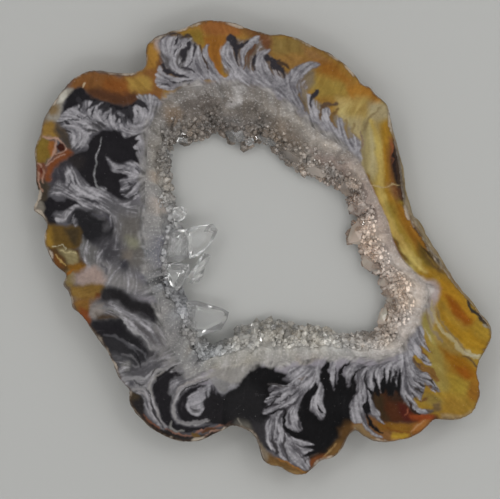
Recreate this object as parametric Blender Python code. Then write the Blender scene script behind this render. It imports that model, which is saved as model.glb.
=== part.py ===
"""Polished cross slice of a small plume agate geode, lying flat.

The slice is a ring of chalcedony with a rough lobed rind, sawn flat above and below.
Its hollow is lined by a crust of quartz whose crystals point into the open middle.
Metres, +Z up. The lower face lies on Z = 0 and the polished face looks up.
"""

import math

import bpy
import bmesh
import numpy as np
from mathutils import Matrix, Vector

# Driving dimensions
SLICE_WIDTH = 0.0780        # across the polished face, left to right
SLICE_THICKNESS = 0.0070
CLEARANCE = 0.0003          # between the chalcedony and the quartz crust

# The rind
RIND_BULGE = 0.00030        # how far the rind stands out past the polished edge
RIND_UNDERCUT = 0.00065     # how far the lower edge is drawn in
RIND_ROUGHNESS = 0.00022
LOWER_ROUGHNESS = 0.4       # the lower edge's share of that roughness
RIGHT_FLARE = 0.0015        # the right-hand rind slopes outwards going down
FLARE_FROM, FLARE_TO = -30.0, 52.0  # the flare is a smooth hump between these directions, in degrees
FLARE_POWER = 1.5           # how narrow the hump is

# The wall between the chalcedony and the quartz
CRUST_THICKNESS = 0.0027    # quartz between the chalcedony and the hole, at the lower face
WALL_SLOPE = 0.0004         # least distance the wall leans in, from the upper face to the lower
SMOOTHED_WALL_SLOPE = 0.0002
WALL_SMOOTHING = 6          # how often the wall's lower loop is smoothed

# The crystal slope
BAND_WIDTH = 0.0009         # least width of the sawn band of quartz beside the chalcedony
HOLE_EDGE_HEIGHT = 0.0013   # the narrowest line of the hollow, above the lower face
HOLE_EDGE_DRAFT = 0.0006    # the hollow opens again below that line
HOLE_EDGE_SCATTER = 0.0003  # how far the hole's edge wanders up and down
SLOPE_POWER = 0.9           # below 1 the slope falls more steeply at its top
SLOPE_MARGIN = 0.0003       # the slope's points end this far below the polished face
DRUSE_ROWS = 5
PIT_DEPTH = 0.00022         # of the pits between the crystals grown together
TIP_HEIGHT = 0.00038        # of the tips between the pits
RELIEF_FROM, RELIEF_TO = 0.6, 1.3   # share of that depth or height at a point
DRUSE_SCATTER = 0.00022     # how far a point of the slope lies off its row
STATION_SCATTER = 0.2       # and along it, as a share of the points' spacing

# The free-standing crystals
SMALL_CRYSTAL_COUNT = 76
SHORTEST_CRYSTAL = 0.0007
LONGEST_CRYSTAL = 0.0015
SLIMMEST, STOUTEST = 0.3, 0.42      # a small crystal's radius over its length
INWARDS, UPWARDS, LEAN = 0.75, 0.55, 0.5    # its direction, and how far it leans off it
ROOT_DEPTH = 0.0009         # how far a crystal's foot lies inside the crust
TOP_MARGIN = 0.0004         # crystals end this far below the polished face
TIP_STEEPNESS = 1.1         # a quartz tip's height over its prism's radius
PRISM_TAPER = 0.94          # a prism's radius below the tip over that at its foot
FIRST_ROW = 2               # the row of the slope from which small crystals stand free

# Outlines are seen from above in picture points, X to the right and Y downwards.
# The real width of the face across the rim's outermost points gives a point's size.
RIM = [
    (141, 70), (146, 62), (145, 51), (149, 43), (158, 37), (172, 32), (184, 28), (205, 21),
    (220, 21), (236, 24), (252, 30), (270, 35), (285, 35), (297, 38), (308, 44), (322, 50),
    (335, 57), (347, 66), (356, 76), (361, 84), (370, 88), (378, 98), (387, 104), (391, 122),
    (396, 147), (400, 170), (403, 195), (409, 215), (420, 234), (433, 254), (446, 273),
    (472, 304), (484, 319), (490, 328), (491, 337), (486, 348), (480, 359), (477, 373),
    (480, 386), (478, 400), (472, 412), (463, 418), (450, 420), (434, 420), (424, 429),
    (411, 437), (394, 441), (376, 441), (361, 434), (355, 430), (348, 435), (342, 447),
    (333, 457), (321, 460), (313, 467), (306, 474), (293, 474), (280, 467), (267, 464),
    (260, 454), (257, 441), (250, 431), (243, 430), (236, 425), (224, 430), (209, 437),
    (197, 441), (181, 441), (162, 435), (146, 423), (134, 409), (128, 398), (128, 388),
    (121, 381), (112, 362), (103, 345), (83, 318), (73, 306), (70, 293), (63, 282),
    (66, 273), (56, 267), (51, 257), (45, 245), (44, 237), (47, 226), (47, 220), (36, 213),
    (33, 207), (38, 198), (38, 190), (35, 178), (38, 167), (34, 161), (36, 146), (40, 135),
    (44, 119), (52, 105), (62, 91), (70, 82), (79, 75), (91, 71), (108, 72), (125, 73),
]
CHALCEDONY_EDGE = [
    (190, 88), (215, 86), (240, 88), (262, 92), (280, 103), (320, 134), (338, 145), (352, 155),
    (362, 170), (377, 202), (386, 222), (391, 240), (400, 258), (412, 271), (424, 283),
    (428, 294), (423, 306), (406, 338), (395, 350), (375, 356), (325, 355), (300, 360),
    (262, 360), (215, 367), (200, 371), (188, 367), (176, 354), (168, 338), (163, 320),
    (160, 303), (151, 289), (147, 270), (146, 230), (146, 180), (150, 132), (157, 115),
    (167, 101), (178, 92),
]
CRYSTAL_LINE = [
    (200, 98), (225, 98), (250, 102), (285, 118), (300, 128), (318, 142), (334, 150),
    (346, 160), (356, 172), (370, 200), (378, 216), (383, 236), (389, 252), (398, 266),
    (408, 278), (416, 292), (414, 306), (406, 322), (398, 336), (386, 346), (368, 350),
    (322, 346), (300, 349), (258, 350), (238, 350), (218, 355), (203, 360), (193, 354),
    (184, 340), (173, 304), (166, 290), (160, 275), (158, 255), (160, 236), (156, 180),
    (156, 162), (158, 144), (165, 125), (175, 108), (186, 100),
]
HOLE_EDGE = [
    (172, 141), (198, 139), (208, 135), (218, 131), (228, 139), (240, 143), (250, 146),
    (258, 140), (270, 145), (278, 153), (288, 163), (300, 170), (325, 181), (335, 186),
    (344, 193), (354, 195), (350, 204), (356, 212), (361, 217), (353, 226), (350, 240),
    (361, 245), (363, 256), (369, 268), (382, 272), (380, 284), (389, 294), (385, 306),
    (377, 332), (372, 337), (358, 335), (342, 337), (328, 331), (299, 329), (285, 325),
    (272, 324), (258, 327), (244, 329), (238, 334), (233, 343), (222, 346), (213, 350),
    (204, 345), (197, 340), (188, 308), (182, 296), (172, 285), (168, 270), (170, 250),
    (178, 232), (178, 222), (173, 208), (171, 195), (169, 178), (167, 152),
]
RIM_LEFT, RIM_RIGHT = 33, 491
PICTURE_POINT = SLICE_WIDTH / (RIM_RIGHT - RIM_LEFT)
ORIGIN = (262.5, 248.0)         # the slice's middle, in picture points
HOLLOW_MIDDLE = (275.0, 245.0)  # every outline runs once round this point

# Rows of the rind going down: height over the thickness, then the shares of the bulge and
# of the undercut by which the row is drawn in, of the roughness and of the right-hand flare
RIND_ROWS = [
    (0.90, 0.45, 0.00, 0.6, 0.12),
    (0.60, 0.00, 0.00, 1.0, 0.45),
    (0.30, 0.00, 0.25, 1.0, 0.80),
    (0.08, 0.00, 0.75, 0.6, 1.00),
]
STATIONS = 158                  # points of every loop
ALONG_RIM, BY_ANGLE = 0.6, 0.4  # how far they are spaced evenly along the rim, and by angle
RIND_SEED, LOWER_EDGE_SEED, DRUSE_SEED, CRYSTAL_SEED = 40, 60, 7, 21

# The large crystals on the hollow's left side. Root and tip are picture points with
# heights in metres; then the radius and the share of the length that is the tip.
LARGE_CRYSTALS = [
    ((169, 251), 0.0041, (215, 229), 0.0046, 0.00190, 0.30),
    ((174, 284), 0.0036, (209, 258), 0.0042, 0.00105, 0.28),
    ((176, 291), 0.0025, (204, 276), 0.0028, 0.00085, 0.30),
    ((184, 322), 0.0036, (230, 313), 0.0040, 0.00250, 0.72),
    ((165, 219), 0.0044, (186, 211), 0.0048, 0.00085, 0.35),
    ((158, 158), 0.0040, (176, 146), 0.0044, 0.00060, 0.35),
    ((252, 128), 0.0034, (247, 148), 0.0026, 0.00085, 0.40),
    ((364, 208), 0.0030, (345, 206), 0.0026, 0.00100, 0.45),
    ((395, 280), 0.0030, (377, 283), 0.0024, 0.00095, 0.45),
    ((158, 270), 0.0044, (184, 263), 0.0050, 0.00085, 0.40),
]

AGATE_COLOUR = (0.18, 0.13, 0.09)
QUARTZ_COLOUR = (0.42, 0.38, 0.35)


def closed_curve(points, steps=10):
    """Smooth closed curve through the outline's points, in metres about the slice's middle."""
    knots = (np.array(points, float) - ORIGIN) * (PICTURE_POINT, -PICTURE_POINT)
    before, after, beyond = np.roll(knots, 1, 0), np.roll(knots, -1, 0), np.roll(knots, -2, 0)
    curve = []
    for t in np.arange(steps) / steps:
        curve.append(0.5 * (
            2 * knots
            + (after - before) * t
            + (2 * before - 5 * knots + 4 * after - beyond) * t ** 2
            + (3 * knots - before - 3 * after + beyond) * t ** 3
        ))
    return np.stack(curve, axis=1).reshape(-1, 2)


MIDDLE = (np.array(HOLLOW_MIDDLE) - ORIGIN) * (PICTURE_POINT, -PICTURE_POINT)


def polar(curve):
    """Direction and distance of a curve's points from the hollow's middle, by direction."""
    arm = curve - MIDDLE
    direction = np.arctan2(arm[:, 1], arm[:, 0]) % (2 * math.pi)
    order = np.argsort(direction)
    return direction[order], np.hypot(arm[:, 0], arm[:, 1])[order]


def reach(points, directions):
    """How far an outline lies from the hollow's middle in each of the directions."""
    direction, distance = polar(closed_curve(points))
    return np.interp(directions, direction, distance, period=2 * math.pi)


def station_directions():
    """Directions round the hollow, spaced evenly along the rim and partly by angle."""
    direction, distance = polar(closed_curve(RIM))
    arm = np.stack([np.cos(direction), np.sin(direction)], axis=1) * distance[:, None]
    along = np.concatenate([[0.0], np.cumsum(np.linalg.norm(np.diff(arm, axis=0), axis=1))])
    turned = (direction - direction[0]) / (2 * math.pi)
    measure = ALONG_RIM * along / along[-1] + BY_ANGLE * turned
    wanted = np.linspace(measure[0], measure[-1], STATIONS, endpoint=False)
    return np.interp(wanted, measure, direction)


def ring(distances, directions):
    """Points at the given distances from the hollow's middle."""
    return MIDDLE + np.stack([np.cos(directions), np.sin(directions)], axis=1) * distances[:, None]


def outward(loop):
    """Unit vectors that point out of a loop of points running anticlockwise."""
    along = np.roll(loop, -1, 0) - np.roll(loop, 1, 0)
    normal = np.stack([along[:, 1], -along[:, 0]], axis=1)
    return normal / np.linalg.norm(normal, axis=1)[:, None]


def wavy(seed, count, smoothing):
    """Seeded numbers round a loop, smoothed with their neighbours, about one unit high."""
    values = np.random.default_rng(seed).normal(size=count)
    for _ in range(smoothing):
        values = 0.5 * values + 0.25 * (np.roll(values, 1) + np.roll(values, -1))
    return values / values.std()


def lifted(loop, height):
    """The loop's points at a height, or each at its own."""
    return np.column_stack([loop, np.broadcast_to(height, len(loop))])


def loft(name, rows, low_first=None):
    """Closed ring lofted through rows of points; each row goes anticlockwise seen from above.

    low_first marks, point by point, the pits of a faceted surface: a quad between two of
    its rows is split along the pits' diagonal, so that the others stand up as tips.
    """
    mesh = bpy.data.meshes.new(name)
    form = bmesh.new()
    verts = [[form.verts.new(point) for point in row] for row in rows]
    count = len(rows[0])
    for j, row in enumerate(verts):
        below = verts[(j + 1) % len(verts)]
        for i in range(count):
            k = (i + 1) % count
            quad = [row[i], row[k], below[k], below[i]]
            if low_first is not None and low_first[j][i]:
                form.faces.new([quad[0], quad[2], quad[1]])
                form.faces.new([quad[0], quad[3], quad[2]])
            else:
                form.faces.new([quad[0], quad[3], quad[1]])
                form.faces.new([quad[1], quad[3], quad[2]])
    bmesh.ops.recalc_face_normals(form, faces=form.faces)
    form.to_mesh(mesh)
    form.free()
    return mesh


def material(name, colour, roughness, transmission=0.0):
    finish = bpy.data.materials.new(name)
    finish.use_nodes = True
    shader = finish.node_tree.nodes["Principled BSDF"]
    shader.inputs["Base Color"].default_value = (*colour, 1.0)
    shader.inputs["Roughness"].default_value = roughness
    shader.inputs["Metallic"].default_value = 0.0
    shader.inputs["Transmission Weight"].default_value = transmission
    return finish


def place(name, mesh, collection, finish):
    piece = bpy.data.objects.new(name, mesh)
    piece.data.materials.append(finish)
    collection.objects.link(piece)
    return piece


def chalcedony_wall(directions):
    """The wall between chalcedony and quartz: loops at the upper face, half-way and the lower."""
    upper = reach(CHALCEDONY_EDGE, directions)
    lower = np.minimum(upper - WALL_SLOPE, reach(HOLE_EDGE, directions) + CRUST_THICKNESS)
    for _ in range(WALL_SMOOTHING):
        lower = 0.5 * lower + 0.25 * (np.roll(lower, 1) + np.roll(lower, -1))
    lower = np.minimum(lower, upper - SMOOTHED_WALL_SLOPE)
    return upper, 0.5 * (upper + lower), lower


def rind_rows(directions):
    """Loops of the rough outside, from the polished edge down to the lower edge."""
    rim = ring(reach(RIM, directions), directions)
    out = outward(rim)
    degrees = (np.degrees(directions) + 180) % 360 - 180
    hump = np.clip((degrees - FLARE_FROM) / (FLARE_TO - FLARE_FROM), 0.0, 1.0)
    flare = RIGHT_FLARE * np.sin(math.pi * hump) ** FLARE_POWER
    rows = [lifted(rim - out * RIND_BULGE, SLICE_THICKNESS)]
    for j, (height, bulge, undercut, roughness, flared) in enumerate(RIND_ROWS):
        rough = RIND_ROUGHNESS * roughness * wavy(RIND_SEED + j, STATIONS, 1)
        offset = flare * flared + rough - RIND_BULGE * bulge - RIND_UNDERCUT * undercut
        offset = np.minimum(offset, flare * flared)
        rows.append(lifted(rim + out * offset[:, None], SLICE_THICKNESS * height))
    rough = RIND_ROUGHNESS * LOWER_ROUGHNESS * wavy(LOWER_EDGE_SEED, STATIONS, 1)
    lower = flare - RIND_UNDERCUT + rough
    rows.append(lifted(rim + out * lower[:, None], 0.0))
    return rows


def agate_slice(directions, collection, finish):
    """The chalcedony ring with its rind outside and the sloping wall of the hollow inside."""
    upper, half, lower = chalcedony_wall(directions)
    rows = rind_rows(directions)
    rows.append(lifted(ring(lower, directions), 0.0))
    rows.append(lifted(ring(half, directions), 0.5 * SLICE_THICKNESS))
    rows.append(lifted(ring(upper, directions), SLICE_THICKNESS))
    return place("agate_slice", loft("agate_slice", rows), collection, finish)


def druse_surface(directions):
    """Loops of the crystal slope from the sawn band to the hole, and which points are pits."""
    line = np.minimum(reach(CRYSTAL_LINE, directions), reach(CHALCEDONY_EDGE, directions) - BAND_WIDTH)
    hole = reach(HOLE_EDGE, directions)
    random = np.random.default_rng(DRUSE_SEED)
    spacing = 2 * math.pi / STATIONS
    drop = SLICE_THICKNESS - HOLE_EDGE_HEIGHT
    slope = np.arctan2(drop, line - hole)
    rows = [lifted(ring(line, directions), SLICE_THICKNESS)]
    pits = [np.zeros(STATIONS, bool)]
    station = np.arange(STATIONS)
    for j in range(1, DRUSE_ROWS + 1):
        share = j / (DRUSE_ROWS + 1)
        pit = (station + j) % 2 == 0
        relief = np.where(pit, -PIT_DEPTH, TIP_HEIGHT) * random.uniform(RELIEF_FROM, RELIEF_TO, STATIONS)
        distance = line + (hole - line) * share - relief * np.sin(slope)
        distance = distance + random.uniform(-DRUSE_SCATTER, DRUSE_SCATTER, STATIONS)
        height = SLICE_THICKNESS - drop * share ** SLOPE_POWER + relief * np.cos(slope)
        height = np.minimum(height, SLICE_THICKNESS - SLOPE_MARGIN)
        turned = directions + random.uniform(-STATION_SCATTER, STATION_SCATTER, STATIONS) * spacing
        rows.append(lifted(ring(distance, turned), height))
        pits.append(pit)
    height = HOLE_EDGE_HEIGHT + random.uniform(-HOLE_EDGE_SCATTER, HOLE_EDGE_SCATTER, STATIONS)
    rows.append(lifted(ring(hole, directions), height))
    pits.append((station + DRUSE_ROWS + 1) % 2 == 0)
    return rows, pits


def crystal(form, root, tip, radius, tip_share, turn):
    """A six-sided quartz prism from root to tip, ending in six flat faces."""
    axis = tip - root
    prism = axis.length * (1.0 - tip_share)
    made = bmesh.ops.create_cone(
        form, cap_ends=True, segments=6, radius1=radius, radius2=radius * PRISM_TAPER, depth=prism)
    cap = max({face for vert in made["verts"] for face in vert.link_faces},
              key=lambda face: face.calc_center_median().z)
    poked = bmesh.ops.poke(form, faces=[cap], offset=axis.length * tip_share)
    turned = Matrix.Rotation(turn, 4, "Z")
    stood = Matrix.Translation((0.0, 0.0, prism / 2))
    aimed = axis.to_track_quat("Z", "X").to_matrix().to_4x4()
    move = Matrix.Translation(root) @ aimed @ stood @ turned
    bmesh.ops.transform(form, matrix=move, verts=made["verts"] + poked["verts"])


def picture_place(point, height):
    x, y = (np.array(point, float) - ORIGIN) * (PICTURE_POINT, -PICTURE_POINT)
    return Vector((x, y, height))


def crystals(directions, collection, finish):
    """The free-standing crystals, in one mesh that is joined to the crust."""
    form = bmesh.new()
    random = np.random.default_rng(CRYSTAL_SEED)
    for root, low, tip, high, radius, tip_share in LARGE_CRYSTALS:
        crystal(form, picture_place(root, low), picture_place(tip, high), radius, tip_share,
                random.uniform(0, math.pi / 3))
    rows, _ = druse_surface(directions)
    for index in range(SMALL_CRYSTAL_COUNT):
        i = int((index + random.uniform(-0.3, 0.3)) * STATIONS / SMALL_CRYSTAL_COUNT) % STATIONS
        j = int(random.integers(FIRST_ROW, DRUSE_ROWS + 1))
        on = Vector(rows[j][i])
        inwards = Vector((*(MIDDLE - rows[j][i][:2]), 0.0)).normalized()
        lean = Vector(random.uniform(-LEAN, LEAN, 3))
        axis = (inwards * INWARDS + Vector((0, 0, UPWARDS)) + lean).normalized()
        length = random.uniform(SHORTEST_CRYSTAL, LONGEST_CRYSTAL)
        radius = length * random.uniform(SLIMMEST, STOUTEST)
        room = SLICE_THICKNESS - TOP_MARGIN - on.z
        axis.z = min(axis.z, room / length)
        axis.normalize()
        root = on - inwards * ROOT_DEPTH
        tip = on + axis * length
        crystal(form, root, tip, radius, radius * TIP_STEEPNESS / (tip - root).length,
                random.uniform(0, math.pi / 3))
    mesh = bpy.data.meshes.new("free_crystals")
    form.to_mesh(mesh)
    form.free()
    return place("free_crystals", mesh, collection, finish)


def quartz_crust(directions, collection, finish):
    """The quartz lining: sawn band above, crystal slope, hole edge, and the wall behind."""
    rows, pits = druse_surface(directions)
    hole = reach(HOLE_EDGE, directions)
    upper, half, lower = chalcedony_wall(directions)
    rows.append(lifted(ring(hole + HOLE_EDGE_DRAFT, directions), 0.0))
    for wall, height in ((lower, 0.0), (half, 0.5 * SLICE_THICKNESS), (upper, SLICE_THICKNESS)):
        rows.append(lifted(ring(wall - CLEARANCE, directions), height))
    while len(pits) < len(rows):
        pits.append(np.zeros(STATIONS, bool))
    return place("quartz_crust", loft("quartz_crust", rows, pits), collection, finish)


def main():
    for thing in list(bpy.data.objects):
        bpy.data.objects.remove(thing, do_unlink=True)

    parts = bpy.data.collections.new("plume_agate_slice")
    joined = bpy.data.collections.new("joined_shapes")
    for collection in (parts, joined):
        bpy.context.scene.collection.children.link(collection)

    chalcedony = material("polished_chalcedony", AGATE_COLOUR, 0.15)
    quartz = material("clear_quartz", QUARTZ_COLOUR, 0.12, transmission=0.6)

    directions = station_directions()
    agate_slice(directions, parts, chalcedony)
    crust = quartz_crust(directions, parts, quartz)
    standing = crystals(directions, joined, quartz)
    standing.hide_render = True
    standing.display_type = "WIRE"
    union = crust.modifiers.new("crystals grown on the crust", "BOOLEAN")
    union.operation = "UNION"
    union.solver = "EXACT"
    union.use_self = True
    union.object = standing


main()
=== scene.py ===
"""Looks of a polished slice of plume agate with a hollow lined by quartz crystals."""
import math

import bpy
import bmesh
import numpy as np
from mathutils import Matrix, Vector
from mathutils.geometry import delaunay_2d_cdt


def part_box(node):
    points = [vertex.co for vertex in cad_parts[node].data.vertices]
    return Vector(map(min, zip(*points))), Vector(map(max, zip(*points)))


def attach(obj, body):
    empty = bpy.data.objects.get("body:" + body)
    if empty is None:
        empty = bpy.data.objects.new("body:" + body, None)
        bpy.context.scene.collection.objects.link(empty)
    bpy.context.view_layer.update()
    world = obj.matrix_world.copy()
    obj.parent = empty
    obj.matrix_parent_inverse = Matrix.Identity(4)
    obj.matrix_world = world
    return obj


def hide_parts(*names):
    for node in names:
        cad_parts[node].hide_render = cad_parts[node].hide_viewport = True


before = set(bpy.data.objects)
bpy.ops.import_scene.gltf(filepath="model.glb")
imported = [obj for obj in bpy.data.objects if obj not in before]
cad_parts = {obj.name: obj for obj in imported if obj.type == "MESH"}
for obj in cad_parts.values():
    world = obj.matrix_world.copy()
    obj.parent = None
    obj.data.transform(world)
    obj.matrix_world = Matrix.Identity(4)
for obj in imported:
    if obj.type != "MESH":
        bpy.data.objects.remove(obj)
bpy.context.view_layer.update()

# The chalcedony ring
# One piece of agate, sawn flat above and below and polished. Honey and black chalcedony
# holds pale mossy plumes that grew outwards from the hollow; the outside is rough rind.
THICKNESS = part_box("agate_slice")[1].z
# the pattern is laid out in picture points, x to the right and y down
RIM_WIDTH, RIM_POINTS = 0.078, 458      # the slice's width, in metres and in picture points
POINT = RIM_WIDTH / RIM_POINTS          # one picture point in metres
PATTERN_ORIGIN = (262.5, 248.0)         # the frame's origin, in picture points
HOLLOW_CENTRE = (275.0, 245.0)          # the hollow's middle, in picture points
HOLLOW_MIDDLE = ((HOLLOW_CENTRE[0] - PATTERN_ORIGIN[0]) * POINT,
                 (PATTERN_ORIGIN[1] - HOLLOW_CENTRE[1]) * POINT)

SAME_HEIGHT = 2e-6              # points no further apart than this are level with each other
SHORTEST_LOOP = 20              # a run of edges with fewer corners is no outline
CURVE_STEPS = 12                # steps on each edge that an outline's length is measured with
NOISE_TABLE = 128               # rows and columns of random values, repeated beyond
CLOUD_RANGE = 1.6               # brings several noises laid over each other to about -1 to 1
GRID_ROWS, GRID_JITTER = 0.866, 0.12    # of a face's spacing: between rows, and its unevenness
OUTLINE_GAP = 0.55              # of a face's spacing: kept free beside its outlines
MERGE = 1e-5                    # points of a face closer than this become one


def welded(piece):
    """Corner points and triangles of a CAD mesh, with the points at one place made one."""
    mesh = piece.data
    mesh.calc_loop_triangles()
    points = np.empty(len(mesh.vertices) * 3, np.float32)
    mesh.vertices.foreach_get("co", points)
    triangles = np.empty(len(mesh.loop_triangles) * 3, np.int32)
    mesh.loop_triangles.foreach_get("vertices", triangles)
    spots, number = np.unique(np.round(points.reshape(-1, 3), 7), axis=0, return_inverse=True)
    return spots.astype(float), number.ravel()[triangles].reshape(-1, 3)


def loops_at(spots, triangles, height):
    """Closed runs of edges at one height that aren't inside a level face, outermost first."""
    level = np.abs(spots[:, 2] - height) < SAME_HEIGHT
    flat = level[triangles].all(axis=1)
    ends = {}
    for corners in triangles[~flat]:
        for a, b in zip(corners, np.roll(corners, -1)):
            if level[a] and level[b]:
                ends.setdefault(a, set()).add(b)
                ends.setdefault(b, set()).add(a)
    loops = []
    while ends:
        first = next(iter(ends))
        run, here, last = [first], first, None
        while True:
            onward = [n for n in ends.pop(here, ()) if n != last and n in ends]
            if not onward:
                break
            last, here = here, onward[0]
            run.append(here)
        if len(run) > SHORTEST_LOOP:
            loops.append(spots[run])
    loops.sort(key=lambda loop: -np.hypot(*(loop[:, :2] - HOLLOW_MIDDLE).T).mean())
    return [anticlockwise(loop) for loop in loops]


def anticlockwise(loop):
    x, y = loop[:, 0], loop[:, 1]
    turned = (x * np.roll(y, -1) - y * np.roll(x, -1)).sum() < 0
    return loop[::-1] if turned else loop


def started_near(loop, place):
    """The loop, turned so that it starts at its point nearest to a place."""
    first = np.hypot(*(loop[:, :2] - place[:2]).T).argmin()
    return np.roll(loop, -first, axis=0)


def spline(p0, p1, p2, p3, t):
    """A smooth curve that runs from p1 to p2 as t goes from 0 to 1, led by p0 and p3."""
    return 0.5 * (2 * p1 + (p2 - p0) * t + (2 * p0 - 5 * p1 + 4 * p2 - p3) * t ** 2
                  + (3 * p1 - p0 - 3 * p2 + p3) * t ** 3)


def along_loop(loop, steps):
    """Points of a smooth curve through a loop's points, at steps counted in those points."""
    base = np.floor(steps).astype(int)
    around = (loop[(base + shift) % len(loop)] for shift in (-1, 0, 1, 2))
    return spline(*around, (steps - base)[:, None])


def even_steps(loop, count):
    """Steps along a loop that are evenly spaced by length."""
    fine = np.linspace(0, len(loop), len(loop) * CURVE_STEPS, endpoint=False)
    curve = along_loop(loop, fine)
    length = np.linalg.norm(np.roll(curve, -1, 0) - curve, axis=1)
    reached = np.concatenate([[0.0], np.cumsum(length)])
    wanted = np.linspace(0, reached[-1], count, endpoint=False)
    return np.interp(wanted, reached, np.append(fine, len(loop)))


def lattice_noise(x, y, seed):
    """Smooth random values from -1 to 1, one unit apart."""
    table = np.random.default_rng(seed).uniform(-1, 1, (NOISE_TABLE, NOISE_TABLE))
    i, j = np.floor(x).astype(int), np.floor(y).astype(int)
    u, v = x - i, y - j
    u, v = u * u * (3 - 2 * u), v * v * (3 - 2 * v)
    i0, i1, j0, j1 = (k % NOISE_TABLE for k in (i, i + 1, j, j + 1))
    low = table[j0, i0] * (1 - u) + table[j0, i1] * u
    high = table[j1, i0] * (1 - u) + table[j1, i1] * u
    return low * (1 - v) + high * v


def cloud_noise(x, y, size, seed, octaves=3):
    """Several sizes of noise laid over each other; size is the largest, in picture points."""
    total, share = 0.0, 1.0
    for octave in range(octaves):
        scale = 2 ** octave / size
        total = total + share * lattice_noise(x * scale, y * scale, seed + octave)
        share *= 0.5
    return total / CLOUD_RANGE


def level_face(loops, spacing, height, seed):
    """A level face between two loops: points, triangles, and which points are the loops'."""
    outer, inner = (loop[:, :2] / POINT for loop in loops)
    low, high = outer.min(axis=0), outer.max(axis=0)
    columns = np.arange(low[0], high[0], spacing)
    rows = np.arange(low[1], high[1], spacing * GRID_ROWS)
    x, y = np.meshgrid(columns, rows)
    x = x + (np.arange(len(rows)) % 2)[:, None] * spacing / 2
    grid = np.stack([x.ravel(), y.ravel()], axis=1)
    grid += np.random.default_rng(seed).uniform(-GRID_JITTER, GRID_JITTER, grid.shape) * spacing
    gap = OUTLINE_GAP * spacing
    grid = grid[inside(grid, outer, -gap) & ~inside(grid, inner, gap)]
    points = np.concatenate([outer, inner, grid])
    edges = []
    for start, count in ((0, len(outer)), (len(outer), len(inner))):
        edges += [(start + i, start + (i + 1) % count) for i in range(count)]
    made = delaunay_2d_cdt([Vector(p) for p in points.tolist()], edges, [], 2, MERGE)
    where = np.array([[v.x, v.y] for v in made[0]]) * POINT
    number = {first: k for k, origins in enumerate(made[3]) for first in origins}
    outer_at = np.array([number[i] for i in range(len(outer))])
    inner_at = np.array([number[len(outer) + i] for i in range(len(inner))])
    spots = np.column_stack([where, np.full(len(where), height)])
    triangles = np.array(made[2])
    middles = where[triangles].mean(axis=1) / POINT
    return spots, triangles[~inside(middles, inner, 0.0)], outer_at, inner_at


def inside(points, loop, margin):
    """Which points lie inside a loop grown by a margin, row by row of crossings."""
    toward = loop - loop.mean(axis=0)
    grown = loop + margin * toward / np.linalg.norm(toward, axis=1)[:, None]
    result = np.zeros(len(points), bool)
    order = np.argsort(points[:, 1])
    heights = points[order, 1]
    for (x0, y0), (x1, y1) in zip(grown, np.roll(grown, -1, 0)):
        if y0 == y1:
            continue
        a, b = np.searchsorted(heights, sorted((y0, y1)))
        rows = order[a:b]
        crossing = x0 + (points[rows, 1] - y0) * (x1 - x0) / (y1 - y0)
        result[rows] ^= points[rows, 0] < crossing
    return result


def strip(first, second):
    """Triangles between two rows of indices that run the same way round."""
    after, beyond = np.roll(first, -1), np.roll(second, -1)
    return np.concatenate([np.stack([first, second, after], 1),
                           np.stack([after, second, beyond], 1)])


SEAM = (0.04, 0.0)              # all outlines start at their point nearest to this place
RIND_STATIONS, WALL_STATIONS = 1040, 420
RIND_BETWEEN = 3                # rind rows for each row of the solid
# the rind's lumps and pits, in picture points: their size, and how high or deep they are
LUMP_SIZE, LUMP_HEIGHT, LUMP_SQUEEZE = 9.0, 0.9, 1.3
PIT_SIZE, PIT_DEPTH, PIT_FROM = 5.0, 1.6, 0.35
RIND_SUNK = 0.35                # how far the rind lies behind the solid's, in picture points
EDGE_UNEVEN = 0.00006           # how far the sawn edge strays, in metres
FACE_SPACING, BACK_SPACING = 1.15, 3.0  # between the points of the faces, in picture points
LUMP_SEED, PIT_SEED, EDGE_SEED, FACE_SEED, BACK_SEED = 11, 31, 3, 1, 2

spots, triangles = welded(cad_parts["agate_slice"])
heights = sorted({round(z, 6) for z in spots[:, 2]}, reverse=True)
rind_loops = [loops_at(spots, triangles, height)[0] for height in heights
              if abs(height - THICKNESS / 2) > SAME_HEIGHT]
wall_loops = [loops_at(spots, triangles, height)[-1] for height in (THICKNESS, THICKNESS / 2, 0.0)]
for rows in (rind_loops, wall_loops):
    rows[0] = started_near(rows[0], SEAM)
    for k in range(1, len(rows)):
        rows[k] = started_near(rows[k], rows[k - 1][0])

rind_steps = even_steps(rind_loops[0], RIND_STATIONS)
wall_steps = even_steps(wall_loops[0], WALL_STATIONS)
rind = [along_loop(loop, rind_steps) for loop in rind_loops]
wall = [along_loop(loop, wall_steps) for loop in wall_loops]


def roughened(rows):
    """Rind rows with more rows between them, broken into small lumps, ledges and pits."""
    fine = []
    for k in range(len(rows) - 1):
        for t in np.arange(RIND_BETWEEN) / RIND_BETWEEN:
            fine.append(rows[k] * (1 - t) + rows[k + 1] * t)
    fine.append(rows[-1])
    first = rows[0]
    onward = np.roll(first, -1, 0) - np.roll(first, 1, 0)
    out = np.stack([onward[:, 1], -onward[:, 0], 0 * onward[:, 0]], axis=1)
    out /= np.linalg.norm(out, axis=1)[:, None]
    along = np.arange(len(first)) * np.linalg.norm(onward, axis=1).mean() / 2 / POINT
    for k, row in enumerate(fine):
        down = np.full(len(row), (THICKNESS - row[0, 2]) / POINT)
        lumps = LUMP_HEIGHT * cloud_noise(along, down * LUMP_SQUEEZE, LUMP_SIZE, LUMP_SEED, 4)
        deep = cloud_noise(along, down, PIT_SIZE, PIT_SEED, 2) - PIT_FROM
        pits = -PIT_DEPTH * np.clip(deep, 0, 1)
        edge = min(k, len(fine) - 1 - k, 2) / 2
        fine[k] = row + out * ((lumps + pits - RIND_SUNK) * edge * POINT)[:, None]
    return fine


rind[0][:, :2] += np.random.default_rng(EDGE_SEED).normal(0, EDGE_UNEVEN, (RIND_STATIONS, 2))
rind_rows = roughened(rind)

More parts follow.
